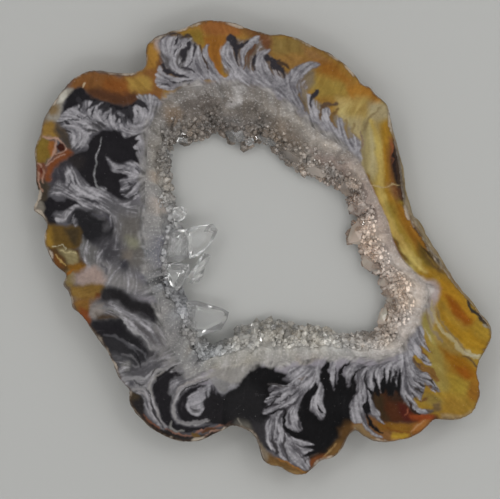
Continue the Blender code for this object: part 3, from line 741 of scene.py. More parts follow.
# The left side: amber lobes on the rim and a clouded grey field towards the hollow
stone.areas((
    ((98,96,98), 9, .2, 96,214, 112,206, 150,206, 166,226, 170,262, 160,296, 130,296, 104,286, 88,268,
     84,244),
    ((100,96,92), 10, .1, 120,218, 146,214, 152,236, 150,262, 130,266, 122,244),
    ((122,120,102), 6, 0, 128,236, 142,240, 142,246, 132,248, 126,242),
    ((114,106,98), 5, 0, 122,250, 132,250, 130,260, 122,260),
    ((30,29,31), 4, 0, 80,210, 90,214, 104,220, 108,214, 114,220, 114,236, 104,244, 94,244, 84,240,
     78,232),
    ((66,64,67), 8, .1, 104,238, 118,238, 122,256, 112,262, 102,256, 96,246),
    ((74,72,74), 3, 0, 106,222, 112,222, 108,232, 104,230),
    ((100,98,96), 4, .35, 84,238, 88,242, 94,246, 100,250, 98,262, 92,270, 84,262, 80,252),
    ((56,55,60), 5, 0, 121,261, 127,261, 128,269, 122,270),
    ((64,62,64), 4, 0, 106,268, 112,271, 110,280, 104,276),
    ((104,102,108), 7, .2, 134,276, 150,270, 150,284, 138,288),
    ((122,119,118), 6, .3, 92,264, 108,262, 118,272, 136,276, 148,290, 128,290, 104,286, 94,276),
    # the three amber lobes
    ((98,75,32), 3, 0, 44,224, 60,225, 80,229, 81,246, 62,251, 44,249, 40,236),
    ((142,110,42), 4, 0, 45,230, 52,228, 55,246, 47,247),
    ((62,50,30), 5, 0, 66,228, 80,229, 81,244, 74,244, 68,236),
    ((78,57,30), 3, 0, 48,248, 66,249, 80,250, 82,260, 86,268, 72,274, 58,270, 50,260),
    ((140,128,92), 3, 0, 60,249, 70,250, 78,254, 79,260, 72,264, 66,258),
    ((108,66,24), 4, 0, 52,252, 60,256, 66,266, 58,270, 52,262),
    ((126,88,28), 3, 0, 70,264, 78,262, 86,268, 78,272, 70,270),
    ((128,112,74), 3, 0, 64,274, 72,270, 76,278, 72,286, 66,284),
    ((156,138,130), 5, 0, 74,273, 84,270, 96,266, 104,274, 104,284, 88,286, 76,282),
    ((124,95,44), 4, 0, 70,284, 84,285, 103,284, 103,296, 98,302, 84,302, 72,296),
    ((122,86,38), 4, 0, 74,300, 98,298, 98,306, 92,314, 90,336, 82,322, 74,308),
    ((122,66,30), 3, 0, 80,308, 90,311, 93,324, 96,336, 88,328, 80,316),
    ((104,62,28), 2, 0, 97,292, 102,294, 101,302, 97,300)))
stone.lines((
    ((176,168,140), 54,247,.4, 62,246,.8, 66,249,.4),
    ((170,156,116), 62,250,.4, 70,252,.7, 78,254,.4),
    ((168,140,84), 58,254,.4, 62,260,.7, 68,266,.4),
    ((70,52,24), 44,232,.4, 45,242,.8, 49,250,.4),
    ((60,40,24), 52,256,.4, 56,266,.8, 64,272,.4),
    ((150,96,30), 66,274,.5, 70,272,.8, 73,269,.5),
    ((128,92,68), 98,300,.3, 104,299,.6, 110,302,.3)), ragged=0.5, softness=1)
stone.strokes((
    (104,214,.6, 108,218,1.2, 112,226,.5),
    (94,214,.4, 98,217,1, 104,217,.4),
    (144,214,.5, 143,224,1.2, 144,236,.5),
    (151,222,.4, 153,228,.8, 157,227,.3),
    (103,264,.4, 107,268,.8, 106,274,.4),
    # painted shadow: these two bluish-grey strokes darken the stone beside the large crystals on the left
    (154,262,1.5, 158,266,2.5, 157,272,1.4),
    (163,238,1, 161,250,2.2, 162,262,.8)), plume=0, colour=(74, 72, 78), ragged=0.6, softness=3)
stone.strokes((
    (84,246,.5, 86,240,1.2, 85,236,.4),
    (90,262,1, 88,250,2, 90,240,.6),
    (98,270,1, 98,260,2, 104,250,.5),
    (106,286,1, 112,276,2, 120,268,.8),
    (118,218,.6, 121,226,1.5, 119,240,.6),
    (112,216,.5, 109,226,.8, 104,230,.4),
    (128,290,1, 130,280,2, 128,272,.8)), plume=0.45, ragged=0.6, softness=4)

# The lower left: black bands and rings, curled round the lobes, with pale arcs between
stone.areas((
    ((100,98,100), 7, .25, 92,302, 118,298, 150,306, 176,320, 196,350, 200,376, 176,400, 150,412, 128,394,
     112,366, 96,336),
    ((126,123,122), 8, .3, 150,324, 172,324, 190,344, 190,362, 176,370, 160,366, 150,350),
    ((92,89,90), 4, .3, 100,302, 116,303, 124,309, 140,319, 156,330, 166,346, 150,342, 134,326, 120,316,
     96,318, 92,310),
    ((138,130,124), 4, 0, 92,306, 104,305, 106,312, 98,318, 91,316),
    ((72,58,44), 4, 0, 98,314, 112,315, 118,319, 100,321),
    # the two black bands
    ((38,36,37), 4, 0, 102,288, 112,287, 125,291, 133,298, 150,302, 164,306, 174,314, 172,326, 162,322,
     148,318, 134,312, 124,307, 118,301, 103,302),
    ((28,26,27), 5, 0, 106,290, 122,292, 136,301, 156,306, 164,314, 150,314, 132,307, 118,298),
    ((66,64,68), 7, 0, 162,312, 176,316, 178,326, 164,324),
    ((40,39,41), 3, 0, 92,318, 106,321, 120,319, 128,326, 138,335, 146,344, 151,354, 146,362, 142,368,
     132,372, 116,368, 100,346, 90,330),
    ((28,27,29), 5, 0, 96,322, 118,322, 130,332, 142,344, 146,352, 134,346, 118,336, 98,334),
    (BLACK, 5, 0, 96,324, 118,324, 124,330, 112,334, 98,332),
    ((70,69,71), 5, .1, 110,352, 126,356, 136,368, 128,376, 116,372),
    ((112,110,108), 3, .2, 122,362, 131,362, 130,370, 124,369),
    ((60,58,60), 4, 0, 149,350, 158,353, 158,358, 150,358),
    ((82,80,83), 5, .1, 142,362, 160,360, 164,368, 150,376, 134,378, 136,368),
    ((118,116,117), 4, .2, 120,372, 138,378, 152,384, 150,392, 136,390, 126,386),
    ((76,74,78), 3, 0, 130,380, 135,380, 135,386, 130,385),
    # the black wedge on the rim and the pale streaks beside it
    ((36,33,32), 2.4, 0, 126,389, 134,391, 142,396, 145,402, 144,410, 150,418, 162,426, 176,430, 200,434,
     232,424, 226,436, 190,446, 160,440, 136,420, 122,402),
    ((60,50,36), 3, 0, 127,389, 134,391, 139,397, 132,400, 127,397),
    ((92,90,93), 3, .55, 138,389, 148,392, 156,398, 158,412, 168,428, 158,424, 148,412, 143,398),
    # the crescent, the ring and the eye
    (BLACK, 1.6, 0, 158,372, 164,370, 172,370, 180,372, 174,376, 171,384, 168,392, 171,396, 171,408,
     174,418, 182,424, 196,426, 212,424, 200,430, 182,431, 168,425, 161,414, 157,402, 153,391, 157,382),
    (BLACK, 2, 0, 212,384, 200,384, 190,388, 182,394, 177,404, 179,414, 186,420, 198,421, 212,419,
     214,400),
    ((26,24,26), 2, 0, 207,394, 213,390, 214,381, 217,392, 220,390, 223,396, 230,394, 236,385, 246,375,
     262,364, 262,440, 240,428, 220,424, 202,420, 202,404),
    ((108,106,110), 1.6, .6, 194,391, 207,384, 205,393, 203,400, 204,408, 199,414, 191,410, 186,406,
     187,398),
    ((140,138,142), 4, .5, 196,393, 203,392, 201,402, 195,404, 190,400),
    ((74,72,74), 3, .2, 188,405, 194,404, 200,409, 194,411),
    ((92,90,93), 2.4, .55, 171,378, 180,376, 184,382, 178,390, 170,392, 169,386),
    ((150,148,152), 1.6, .5, 208,380, 216,376, 230,380, 238,384, 232,389, 227,393, 222,392, 217,386,
     212,380, 209,392, 207,394)))
# the pale arcs: how soon one swells from its ends, and its half width there
ARC_SWELL, ARC_END = 0.6, 0.2
for colour, widest, *places in (
        ((148,146,146), .9, 118,317, 124,321, 135,329, 145,338, 152,349),
        ((118,116,118), 1.6, 106,306, 120,311, 136,320, 150,331, 160,342),
        ((116,114,116), 1.1, 112,303, 124,311, 140,318, 154,326),
        ((124,122,120), .8, 100,308, 112,309, 122,316, 134,324),
        ((74,73,76), 1.4, 104,334, 114,335, 122,341, 132,347, 140,354),
        ((84,83,86), 1.2, 126,342, 136,347, 144,351, 148,358),
        ((92,90,92), 1, 124,354, 132,356, 138,362, 142,368),
        ((104,102,104), 1.4, 134,366, 144,364, 152,359, 160,352),
        ((138,136,137), 1.5, 126,380, 136,377, 146,378, 154,372, 160,367),
        ((138,135,134), 1.4, 130,390, 140,387, 150,388, 152,380, 158,370, 168,366, 180,362),
        ((136,132,128), 1, 152,396, 151,386, 157,376, 164,370),
        ((142,139,139), 1.3, 212,376, 200,381, 188,385, 179,391, 175,400, 174,410, 178,419, 186,423,
         198,423, 208,420),
        ((122,119,120), 1.6, 178,419, 188,421, 200,420, 206,419),
        ((156,150,146), .9, 204,377, 190,382, 180,386, 176,392),
        ((146,142,142), 1.5, 140,390, 148,398, 152,410, 162,424),
        ((146,142,142), 1.1, 146,391, 154,400, 158,412, 167,426),
        ((116,114,116), .9, 144,398, 147,408, 156,420),
        ((128,126,122), .8, 172,421, 170,426, 176,430, 184,429),
        ((150,148,152), 1, 188,408, 190,403, 198,400, 203,396),
        ((142,140,144), .9, 187,404, 190,409, 197,413, 203,409)):
    arc = np.reshape(places, (-1, 2)).astype(float)
    swell = np.sin(math.pi * (np.arange(len(arc)) + ARC_SWELL) / (len(arc) + 2 * ARC_SWELL - 1))
    stone.stroke(np.column_stack([arc, widest * swell + ARC_END]), plume=0.12,
                 colour=colour, softness=1.8, ragged=0.45)
stone.lines((
    ((34,32,33), 210,377,.3, 196,383.5,.8, 184,389,1, 179,396,.4),
    ((34,32,33), 164,371,.6, 170,369,1, 178,365,.3),
    ((40,38,40), 172,371,.8, 177,375,1.2, 183,373,.3),
    ((26,25,27), 137,352,.4, 140,358,.8, 141,367,.4),
    ((62,60,62), 135,379,.4, 139,383,.8, 146,383,.3),
    ((54,52,54), 150,392,.4, 151,402,1.1, 157,414,1.2, 163,426,.4),
    ((70,68,70), 147,386,.3, 149,391,.7, 148,396,.3),
    ((34,32,34), 153,312,.4, 154,318,1.1, 157,326,.3),
    ((52,50,53), 140,312,.4, 152,318,.9, 160,326,.4),
    ((88,86,88), 150,368,.3, 158,362,.8, 168,360,.3),
    ((60,58,58), 152,378,.3, 154,372,.7, 160,366,.3),
    ((28,22,20), 143,417,.4, 152,425,1.2, 166,434,1.2, 182,440,.5),
    ((112,72,52), 144,413,.5, 152,421,1, 160,427,.5),
    ((128,92,78), 166,428,.4, 176,432,.9, 190,434,.8, 200,430,.9, 214,427,.9, 228,422,.8, 237,415,.4),
    ((96,72,34), 192,432,1, 196,435,2.4, 200,436,1),
    ((80,52,32), 202,431,1, 208,429,2, 216,428,1),
    ((144,112,96), 204,437,.3, 210,432,.7, 222,428,.3),
    (BLACK, 219,394,.3, 222,396,.8, 225,395,.3)), ragged=0.4, softness=1.2)
stone.strokes((
    (172,384,1, 176,380,1.6, 184,378,.6),
    (170,391,.5, 174,386,1.4, 182,384,.6),
    (172,395,.3, 176,390,.8, 180,387,.4)), plume=0.8, ragged=0.6, softness=2)

# The bottom lobe: a black heart, with plumes that sweep down to the rim like feathers
stone.areas((
    ((144,140,135), 3, .08, 206,373, 222,366, 238,364, 254,361, 249,371, 240,380, 232,384, 222,380,
     212,377, 204,378),
    ((128,126,125), 2, .15, 210,379, 218,377, 225,380, 232,383, 227,391, 222,391, 216,386),
    (JET, 2, 0, 226,394, 238,386, 247,376, 256,369, 266,366, 273,368, 275,371, 290,374, 282,378, 290,381,
     296,384, 316,380, 330,384, 352,374, 366,366, 374,384, 366,404, 352,426, 340,440, 330,452, 312,462,
     286,452, 262,446, 250,430, 236,420, 222,424),
    ((96,92,84), 4, 0, 236,414, 250,420, 256,434, 262,446, 258,460, 244,440, 234,424),
    ((48,46,48), 6, 0, 250,416, 266,420, 270,440, 262,446, 254,432),
    ((27,26,27), 8, 0, 224,396, 238,386, 250,382, 262,396, 264,416, 246,420, 228,420),
    ((106,78,42), 3, 0, 248,438, 260,446, 272,454, 286,460, 300,468, 310,469, 306,478, 280,472, 262,466,
     250,452),
    ((128,116,98), 3, 0, 252,440, 262,446, 268,456, 262,464, 254,452),
    ((150,120,76), 2, 0, 262,460, 276,463, 292,470, 304,474, 290,474, 264,466),
    ((50,36,20), 5, 0, 308,472, 308,461, 314,454, 326,449, 340,434, 350,424, 362,424, 356,436, 346,448,
     338,456, 322,462),
    ((112,62,28), 3, 0, 308,462, 314,455, 326,453, 328,460, 312,466),
    ((112,82,42), 4, 0, 330,446, 340,438, 346,442, 338,454, 326,458),
    ((84,58,26), 5, 0, 338,428, 350,420, 362,424, 350,434, 342,440),
    # the plumes
    (PLUME_BED, 1.5, .82, 290,366, 316,366, 316,380, 308,390, 301,400, 298,412, 300,424, 302,430, 290,430,
     284,420, 286,408, 278,410, 270,414, 262,411, 268,403, 264,400, 270,394, 268,388, 272,385, 286,384,
     296,384, 286,376),
    (PLUME_BED, 1.4, .85, 318,362, 322,370, 321,380, 324,390, 323,402, 325,412, 320,419, 314,413, 309,408,
     312,397, 318,388, 316,376),
    (PLUME_BED, 1.2, .8, 329,361, 334,363, 336,372, 334,382, 334,389, 330,382, 328,370),
    (PLUME_BED, 1.2, .8, 344,372, 350,362, 365,364, 358,369, 352,375, 349,384, 347,389, 345,380),
    (PLUME_BED, 1.6, .8, 270,414, 282,410, 283,424, 285,431, 291,436, 302,440, 313,444, 304,446, 312,449,
     304,453, 310,458, 309,469, 300,466, 286,460, 276,452, 269,446, 266,438, 270,428)), wander=0.8)
stone.area((266,418, 280,414, 282,428, 284,440, 279,448, 268,440), LILAC * 0.25, 4, 0.5)
stone.strokes((
    (310,372,2, 296,386,2, 282,396,1.8, 268,404,.5),
    (312,376,2, 298,392,1.8, 284,402,1.5, 264,410,.5),
    (300,372,2, 286,386,1.8, 270,392,.5),
    (308,386,1.5, 298,400,2, 292,412,2, 294,426,1.2),
    (300,390,1, 290,402,1.6, 276,410,.5),
    (292,414,1.6, 296,422,2, 299,430,1),
    (320,368,.8, 321,384,1.6, 317,396,2.2, 318,406,2, 322,414,.6),
    (314,400,1, 313,408,1.4, 319,417,.6),
    (331,363,.6, 331,372,1, 333,384,.4),
    (354,366,1.5, 349,374,1.6, 347,385,.5),
    (278,414,1, 276,426,1.8, 276,438,1.6, 282,450,1.2, 296,462,1),
    (282,424,.8, 282,436,1.6, 290,446,2, 298,456,2, 307,467,1),
    (284,434,.8, 296,441,2, 310,444,.6),
    (292,444,1.4, 302,449,1.6, 309,449,.5),
    (272,418,.5, 270,428,1.2, 268,438,1, 274,448,.8)), softness=2.6)
stone.lines((
    (JET, 271,372,4, 274,366,1.4, 276,361,.9, 280,360,.4),
    ((80,74,74), 281,362,.3, 284,364,.7, 286,365,.3),
    (JET, 274,390,.5, 270,392,1.2, 266,390,1),
    ((60,56,60), 272,389,.3, 276,387,.7, 280,388,.3),
    (JET, 282,394,.3, 274,397,.9, 266,398,1),
    ((50,47,50), 296,391,.3, 288,396,.6, 280,403,.8, 272,404,1.2),
    ((64,61,64), 298,396,.3, 294,402,.8, 288,404,.3),
    (JET, 276,399,.3, 271,403,1, 266,407,.8),
    (JET, 282,408,.3, 276,411,1.2, 268,413,.9, 262,414,.8),
    ((56,53,56), 290,405,.3, 284,409,.9, 281,415,.6),
    ((70,66,66), 268,383,.8, 280,385,.7, 290,385,.3),
    ((96,92,94), 302,380,.3, 297,386,.6, 292,388,.3),
    ((118,106,98), 307,376,.3, 302,379,.9, 297,378,.3),
    (JET, 316,382,.4, 315,387,1.2, 308,393,2.4, 304,400,3.2, 303,412,3.4, 306,424,4),
    (JET, 284,409,.5, 283,418,1.2, 284,426,1.6, 290,432,2, 302,436,2, 316,440,2),
    ((66,62,66), 288,412,.3, 287,418,.7, 290,424,.3),
    ((60,57,60), 299,418,.3, 297,424,.8, 301,430,.4),
    (JET, 325,413,.4, 320,409,1.2, 318,404,.4),
    (JET, 332,360,.3, 326,362,1.5, 324,370,3.2, 325,380,3.6, 328,390,4),
    (JET, 335,368,.4, 334.5,376,1, 334,386,1),
    (JET, 351,359,.3, 345,365,1.3, 340,373,3.2, 340,382,4, 341,390,5),
    (JET, 367,364,.3, 361,369,1.5, 355,375,2.4, 352,384,3, 350,396,4),
    ((110,104,106), 362,362,.3, 366,361,.6, 371,360,.3),
    ((52,49,50), 272,436,.5, 274,443,1.6, 276,450,2),
    ((60,57,59), 284,426,.4, 285,436,1.2, 284,446,1, 288,460,.6),
    ((78,74,78), 276,428,.3, 278,434,.9, 275,440,.4),
    ((96,92,96), 292,442,.3, 298,448,.6, 302,456,.3),
    (JET, 303,446,.3, 308,446,.7, 314,445,1.2),
    (JET, 302,455,.3, 306,452,.9, 314,450,1.6),
    ((60,48,40), 306,460,.3, 310,455,.7, 316,452,1),
    ((168,138,90), 322,456,.3, 330,448,.7, 336,442,.4),
    ((156,108,66), 316,458,.4, 324,456,.6, 330,454,.3),
    ((152,98,32), 276,456,.4, 290,463,.8, 304,471,.4),
    ((136,130,120), 238,418,.5, 244,427,.8, 250,434,.4),
    ((60,54,46), 250,434,.5, 256,444,.9, 262,456,.7, 268,464,.4)), ragged=0.5, softness=1.8)

# The narrow right side: long smooth stripes of yellow and honey, brown at the rim
stone.area((364,112, 372,102, 392,98, 404,150, 414,196, 430,230, 452,262, 470,285, 438,284, 412,280,
            392,256, 376,220, 364,190, 362,140), (146, 122, 46), 3, 0)
stone.areas((
    ((154,106,38), 4, 0, 346,90, 360,84, 372,90, 382,102, 372,108, 356,102),
    ((160,136,76), 7, 0, 356,98, 370,100, 368,114, 350,118, 346,110),
    ((160,146,110), 5, 0, 368,104, 386,104, 390,118, 378,122, 368,120),
    ((164,150,110), 10, 0, 366,120, 376,118, 378,150, 376,176, 366,184, 365,150),
    ((138,124,88), 3, 0, 362,122, 366,120, 366,150, 367,190, 363,184, 361,150),
    ((128,90,34), 4, 0, 384,128, 390,128, 390,160, 385,162, 383,144),
    ((156,114,32), 7, 0, 380,126, 388,124, 390,166, 393,200, 386,198, 381,164),
    ((160,142,76), 5, 0, 374,190, 382,192, 390,216, 402,244, 416,268, 408,270, 394,248, 382,218),
    ((138,94,24), 5, 0, 394,202, 402,206, 412,222, 424,246, 420,256, 408,238, 398,220),
    ((92,72,26), 5, 0, 416,240, 424,242, 436,262, 438,272, 426,266, 418,254),
    ((144,108,28), 5, 0, 414,262, 428,268, 450,274, 456,284, 436,284, 420,278),
    ((136,106,64), 4, 0, 386,184, 398,186, 400,198, 392,196),
    ((112,70,36), 5, 0, 388,138, 394,140, 394,170, 398,200, 392,194, 388,170),
    ((36,24,20), 2.5, 0, 393,141, 397,142, 401,164, 405,186, 406,201, 399,199, 395,184, 391,168,
     390,156)), wander=0.4)
for colour, softness, *points in (
        ((178,154,84), 5, 371,122,2.5, 379,152,3.5, 380,176,3, 380,196,3.4, 387,220,3.8, 400,242,3.8,
         412,260,3.6, 424,272,2),
        ((126,96,38), 3, 366,174,1, 371,188,2, 379,206,2, 387,224,1),
        ((104,78,36), 3, 388,232,1, 394,244,2.4, 401,255,2, 408,263,.6),
        ((150,104,30), 4, 400,206,1, 408,220,2.4, 418,238,2.6, 426,250,1),
        ((92,70,36), 3, 424,254,1, 434,266,2, 444,276,1),
        ((168,152,116), 2.4, 403,197,.4, 407,204,2, 414,217,2.2, 424,236,1.4, 438,258,.8),
        ((18,12,12), 1.4, 396,156,.6, 399,172,1.4, 401,190,1, 402,199,.5),
        ((84,48,24), 2, 394,190,.6, 398,192,1.6, 401,199,.6),
        ((128,74,42), 1.6, 388,141,.4, 391,149,.8, 389,158,.4),
        ((96,58,36), 1.6, 390,157,.4, 393,160,.8, 391,166,.5),
        ((118,96,84), 1.4, 360.5,132,.4, 361,142,.6, 360,151,.3),
        ((126,108,74), 2.6, 363,130,.6, 366,124,1, 371,116,1, 379,108,.5),
        ((108,84,36), 2.4, 366,184,.5, 371,194,1.2, 377,204,1.6, 380,208,.6),
        ((116,80,28), 2.6, 390,238,.5, 393,247,2, 397,253,1.6, 400,257,.5),
        ((64,44,24), 1.6, 403,204,.4, 408,216,.8, 412,226,.8, 418,236,.5),
        ((58,46,24), 1.4, 420,246,.4, 428,254,1, 436,262,.5),
        ((120,96,44), 1.4, 424,252,.3, 430,260,.7, 437,268,.4),
        ((70,54,34), 1.4, 424,244,.4, 434,256,1, 446,270,1, 458,284,.5),
        ((170,152,112), 1.2, 366,186,.3, 376,186.5,.6, 384,188,.4, 392,185.5,.6, 402,187,.3)):
    stone.stroke(points, plume=0, colour=colour, softness=softness, ragged=0.2)

# The lower right: plumes round a rust-brown eye, and honey chalcedony beyond them
stone.areas((
    ((150,118,40), 5, 0, 404,300, 420,296, 434,276, 460,280, 500,320, 500,345, 484,366, 488,400, 470,426,
     430,426, 404,400, 404,350),
    # round the eye
    (JET, 2, 0, 354,370, 402,364, 404,392, 400,404, 376,408, 352,414),
    ((118,80,42), 3, 0, 352,420, 366,414, 384,420, 410,420, 428,414, 438,418, 424,436, 400,448, 368,444,
     352,432),
    ((70,34,9), 4, 0, 376,392, 386,390, 398,394, 404,402, 414,412, 430,413, 436,418, 420,421, 398,422,
     384,421, 375,408),
    ((56,40,20), 4, 0, 374,392, 384,394, 384,408, 390,420, 378,416, 373,404),
    ((44,26,12), 5, 0, 384,390, 398,392, 402,400, 390,400),
    ((72,24,12), 4, 0, 398,402, 406,404, 416,413, 424,416, 410,420, 400,416),
    ((134,62,24), 3, 0, 408,413, 430,413, 432,418, 418,422),
    ((120,82,24), 3, 0, 376,422, 384,421, 400,423, 416,424, 412,432, 396,430, 380,428),
    ((130,90,26), 3, 0, 390,422, 406,423, 404,429, 392,428),
    ((156,122,36), 3, 0, 392,432, 408,431, 404,438, 392,439),
    ((146,92,40), 3, 0, 412,424, 426,418, 430,424, 420,434, 412,432),
    ((128,104,70), 2, 0, 352,424, 362,424, 368,432, 378,440, 366,440, 354,432),
    # the honey chalcedony
    ((166,122,28), 5, 0, 437,278, 448,280, 462,296, 474,312, 470,322, 458,316, 444,304, 438,294),
    ((134,74,6), 5, 0, 444,294, 454,300, 464,312, 472,324, 462,324, 450,312),
    ((152,112,22), 6, 0, 440,310, 450,320, 462,328, 476,328, 488,340, 484,350, 470,350, 456,340, 444,326),
    ((156,122,36), 4, 0, 474,322, 486,328, 490,338, 480,340, 472,332),
    ((156,146,134), 5, .15, 408,300, 420,290, 432,300, 434,318, 428,330, 420,330, 414,344, 406,350),
    ((148,134,72), 4, 0, 421,310, 428,314, 432,326, 440,338, 434,346, 426,336, 420,326),
    ((146,120,58), 4, 0, 436,328, 448,340, 460,352, 452,354, 442,348, 434,338),
    ((142,94,14), 5, 0, 438,346, 450,352, 464,358, 476,368, 476,378, 462,378, 450,366),
    ((134,74,6), 5, 0, 456,366, 466,368, 470,376, 462,380, 456,374),
    ((154,128,44), 6, 0, 446,372, 458,376, 466,386, 460,394, 446,388),
    ((144,126,62), 5, 0, 428,344, 440,350, 446,372, 446,390, 436,386, 428,366),
    ((138,92,24), 4, 0, 470,378, 480,380, 480,398, 470,404, 466,394),
    ((142,108,36), 5, 0, 444,398, 466,400, 474,404, 462,416, 440,416),
    ((150,126,86), 2, 0, 440,413, 462,414, 474,408, 470,420, 440,422),
    ((134,112,52), 4, 0, 424,392, 436,394, 442,402, 432,404, 424,400),
    ((106,84,52), 3, 0, 432,402, 440,402, 440,410, 432,410),
    ((166,150,144), 4, .1, 408,284, 424,280, 437,284, 437,298, 430,304, 420,296),
    # the plumes
    (PLUME_BED, 1.4, .8, 354,376, 366,366, 404,360, 402,372, 399,366, 397,380, 395,368, 392,380, 389,368,
     386,382, 384,368, 381,386, 378,372, 378,386, 374,372, 373,390, 368,388, 366,376, 366,392, 365,404,
     363,412, 364,420, 354,422, 350,412, 351,402, 355,394),
    (PLUME_BED, 1.2, .85, 366,388, 371,392, 372,400, 376,412, 384,422, 378,420, 370,410, 367,398),
    (PLUME_BED, 1.2, .85, 358,410, 363,412, 366,422, 374,430, 382,437, 372,434, 362,424),
    (PLUME_BED, 1.6, .85, 396,352, 404,338, 412,328, 420,326, 424,338, 430,352, 424,348, 420,344, 424,354,
     430,364, 422,362, 416,354, 412,357, 416,366, 424,371, 431,378, 439,391, 430,388, 424,382, 424,387,
     422,393, 420,398, 414,396, 412,400, 418,406, 432,409, 424,413, 416,412, 408,406, 402,398, 399,388,
     400,372)), wander=0.8)
stone.strokes((
    (404,360,3, 388,364,2.5, 372,370,2, 360,384,1.6, 358,400,2, 356,416,2),
    (368,368,1, 370,380,1.2, 372,389,.5),
    (379,370,.6, 379.5,380,1, 380,391,.4),
    (385.5,368,.6, 386,376,1, 386,385,.4),
    (391,367,.6, 391,374,.9, 391,382,.4),
    (396,367,.6, 395.5,375,.9, 394,386,.4),
    (354,400,1, 353,410,1.6, 358,420,1.2),
    (404,352,3, 406,366,5, 405,380,5, 404,392,2.6, 409,403,1.4),
    (408,344,2, 416,352,1.6, 426,362,.8),
    (414,332,1.4, 420,340,1.4, 428,350,.6),
    (408,356,2, 411,366,2.4, 420,374,2, 431,380,1, 438,390,.5),
    (408,370,2, 414,379,2, 421,388,1),
    (406,382,2, 412,391,1.8, 419,398,1),
    (404,390,1.6, 409,398,1.6, 416,405,2, 424,410,1.6, 431,409,.6),
    (360,418,.8, 366,426,1.2, 376,434,.8),
    (371,396,.8, 374,408,1.2, 381,419,.6)), softness=2.6)
stone.lines((
    (JET, 367,370,.3, 365,378,.7, 367,387,.8, 371,391,1.6),
    (JET, 374,370,.3, 373,378,.8, 376,386,1.4, 378,393,2),
    (JET, 383.5,369,.5, 382,378,1.2, 382,390,2.2),
    (JET, 389,370,.3, 388,380,1.4, 388,390,3),
    (JET, 393.5,367,.5, 392.5,376,1, 392,388,2.4),
    (JET, 398.5,369,.4, 397.5,379,1, 396,390,2.4),
    (JET, 400,371,.3, 399.5,382,.7, 398,394,1.2),
    (JET, 367,396,.4, 366,401,1.2, 364,407,1.4, 366,416,2, 372,424,2, 382,431,.8),
    ((84,80,84), 360,370,.3, 357,378,.7, 357,388,.6, 354,396,.3),
    ((76,72,76), 362,386,.3, 360,394,.6, 362,401,.3),
    ((90,86,90), 364,374,.3, 362,380,.5, 363,388,.3),
    ((122,88,42), 413,357,.6, 416,364,1.8, 422,367,2.4, 430,371,2.8, 436,378,3),
    ((84,66,48), 413,357,.4, 415,362,1.1, 419,367,.6),
    ((104,70,34), 419,370,.3, 426,372,.7, 432,376,.4),
    ((74,66,62), 420,357,.3, 424,361,.9, 430,362,.6),
    ((104,70,34), 421,347,.3, 423,352,.7, 427,357,.3),
    ((104,70,34), 424,340,.3, 427,346,.6, 432,354,.3),
    ((118,112,112), 416,329,.3, 418,336,.5, 421,343,.3),
    ((50,42,36), 421,377,.3, 428,379,1, 432,382,1.3, 437,388,.3),
    ((104,70,34), 424,384,.3, 430,386,.8, 436,390,.3),
    ((50,44,42), 413,379,.3, 418,383,1.1, 424,385,1.2),
    ((48,42,38), 411,385,.3, 416,389,1.1, 422,392,1.3),
    ((56,48,44), 411,393,.3, 414,397,.8, 416,399,.3),
    ((104,70,34), 415,399,.3, 420,399,.9, 426,397,1),
    ((46,30,20), 404,395,.5, 408,402,1.2, 413,409,1.6, 418,413,1),
    ((84,68,52), 424,408,.3, 428,410,.8, 432,411,.4),
    ((126,108,90), 422,302,.3, 425,306,.6, 424,310,.3),
    ((132,114,84), 427,306,.4, 427,318,1, 433,330,1.2, 442,340,1),
    ((166,152,112), 430,300,.6, 433,312,1.2, 440,328,1.6, 452,341,2, 464,351,2.6, 480,357,2.6),
    ((128,106,68), 436,308,.4, 440,320,.9, 448,332,1, 458,343,.9, 466,352,.6),
    ((94,72,44), 462,355,.3, 470,359,.9, 477,367,.6),
    ((176,166,140), 464,350,.4, 470,355,1, 478,355,.6),
    ((164,154,122), 424,328,.3, 428,334,.9, 431,340,.3),
    ((46,42,38), 466,300,.8, 472,309,2, 479,318,1.8, 486,325,.8),
    ((146,138,120), 481,323,.5, 485,326,1.2, 489,329,.5),
    ((146,84,58), 404,414,.3, 406,411,.6, 408,408,.3),
    ((120,72,20), 382,424,.3, 396,430,.8, 414,430,.5),
    ((160,122,76), 372,438,.4, 388,441,1, 410,438,.8, 424,430,.4),
    ((166,126,84), 410,430,.3, 416,424,.7, 424,419,.3)), ragged=0.45, softness=1.8)
stone.finish()

# the quartz's colour round the hollow: degrees anticlockwise from the right, and the colour there
QUARTZ_COLOURS = (
    (-180, (122,122,123)), (-140, (116,116,117)), (-100, (150,148,143)), (-60, (153,150,144)),
    (-35, (163,153,144)), (0, (163,149,137)), (30, (150,138,129)), (60, (140,132,124)),
    (85, (116,109,102)), (115, (100,93,87)), (150, (118,115,111)), (180, (122,122,123)))
# sizes in picture points and seeds of the noises that vary the quartz's colour
QUARTZ_CLOUDS, QUARTZ_BROWNS, QUARTZ_GRAIN = (11, 431), (18, 441), (3.5, 451)
CLOUD_DEPTH, GRAIN_DEPTH, BROWN_DEPTH = 0.4, 0.35, 0.08
BROWN_HUE = np.array([0.6, 0.0, -0.9])


def spot_noise(spots, size, seed, octaves=3):
    """Noise at places of the slice; size is its largest lump, in picture points."""
    return cloud_noise(*(spots[:, :2] / POINT).T, size, seed, octaves)


def quartz_angle(spots):
    """The directions of places round the hollow in degrees, anticlockwise from the right."""
    arm = spots[:, :2] - HOLLOW_MIDDLE
    return np.degrees(np.arctan2(arm[:, 1], arm[:, 0]))


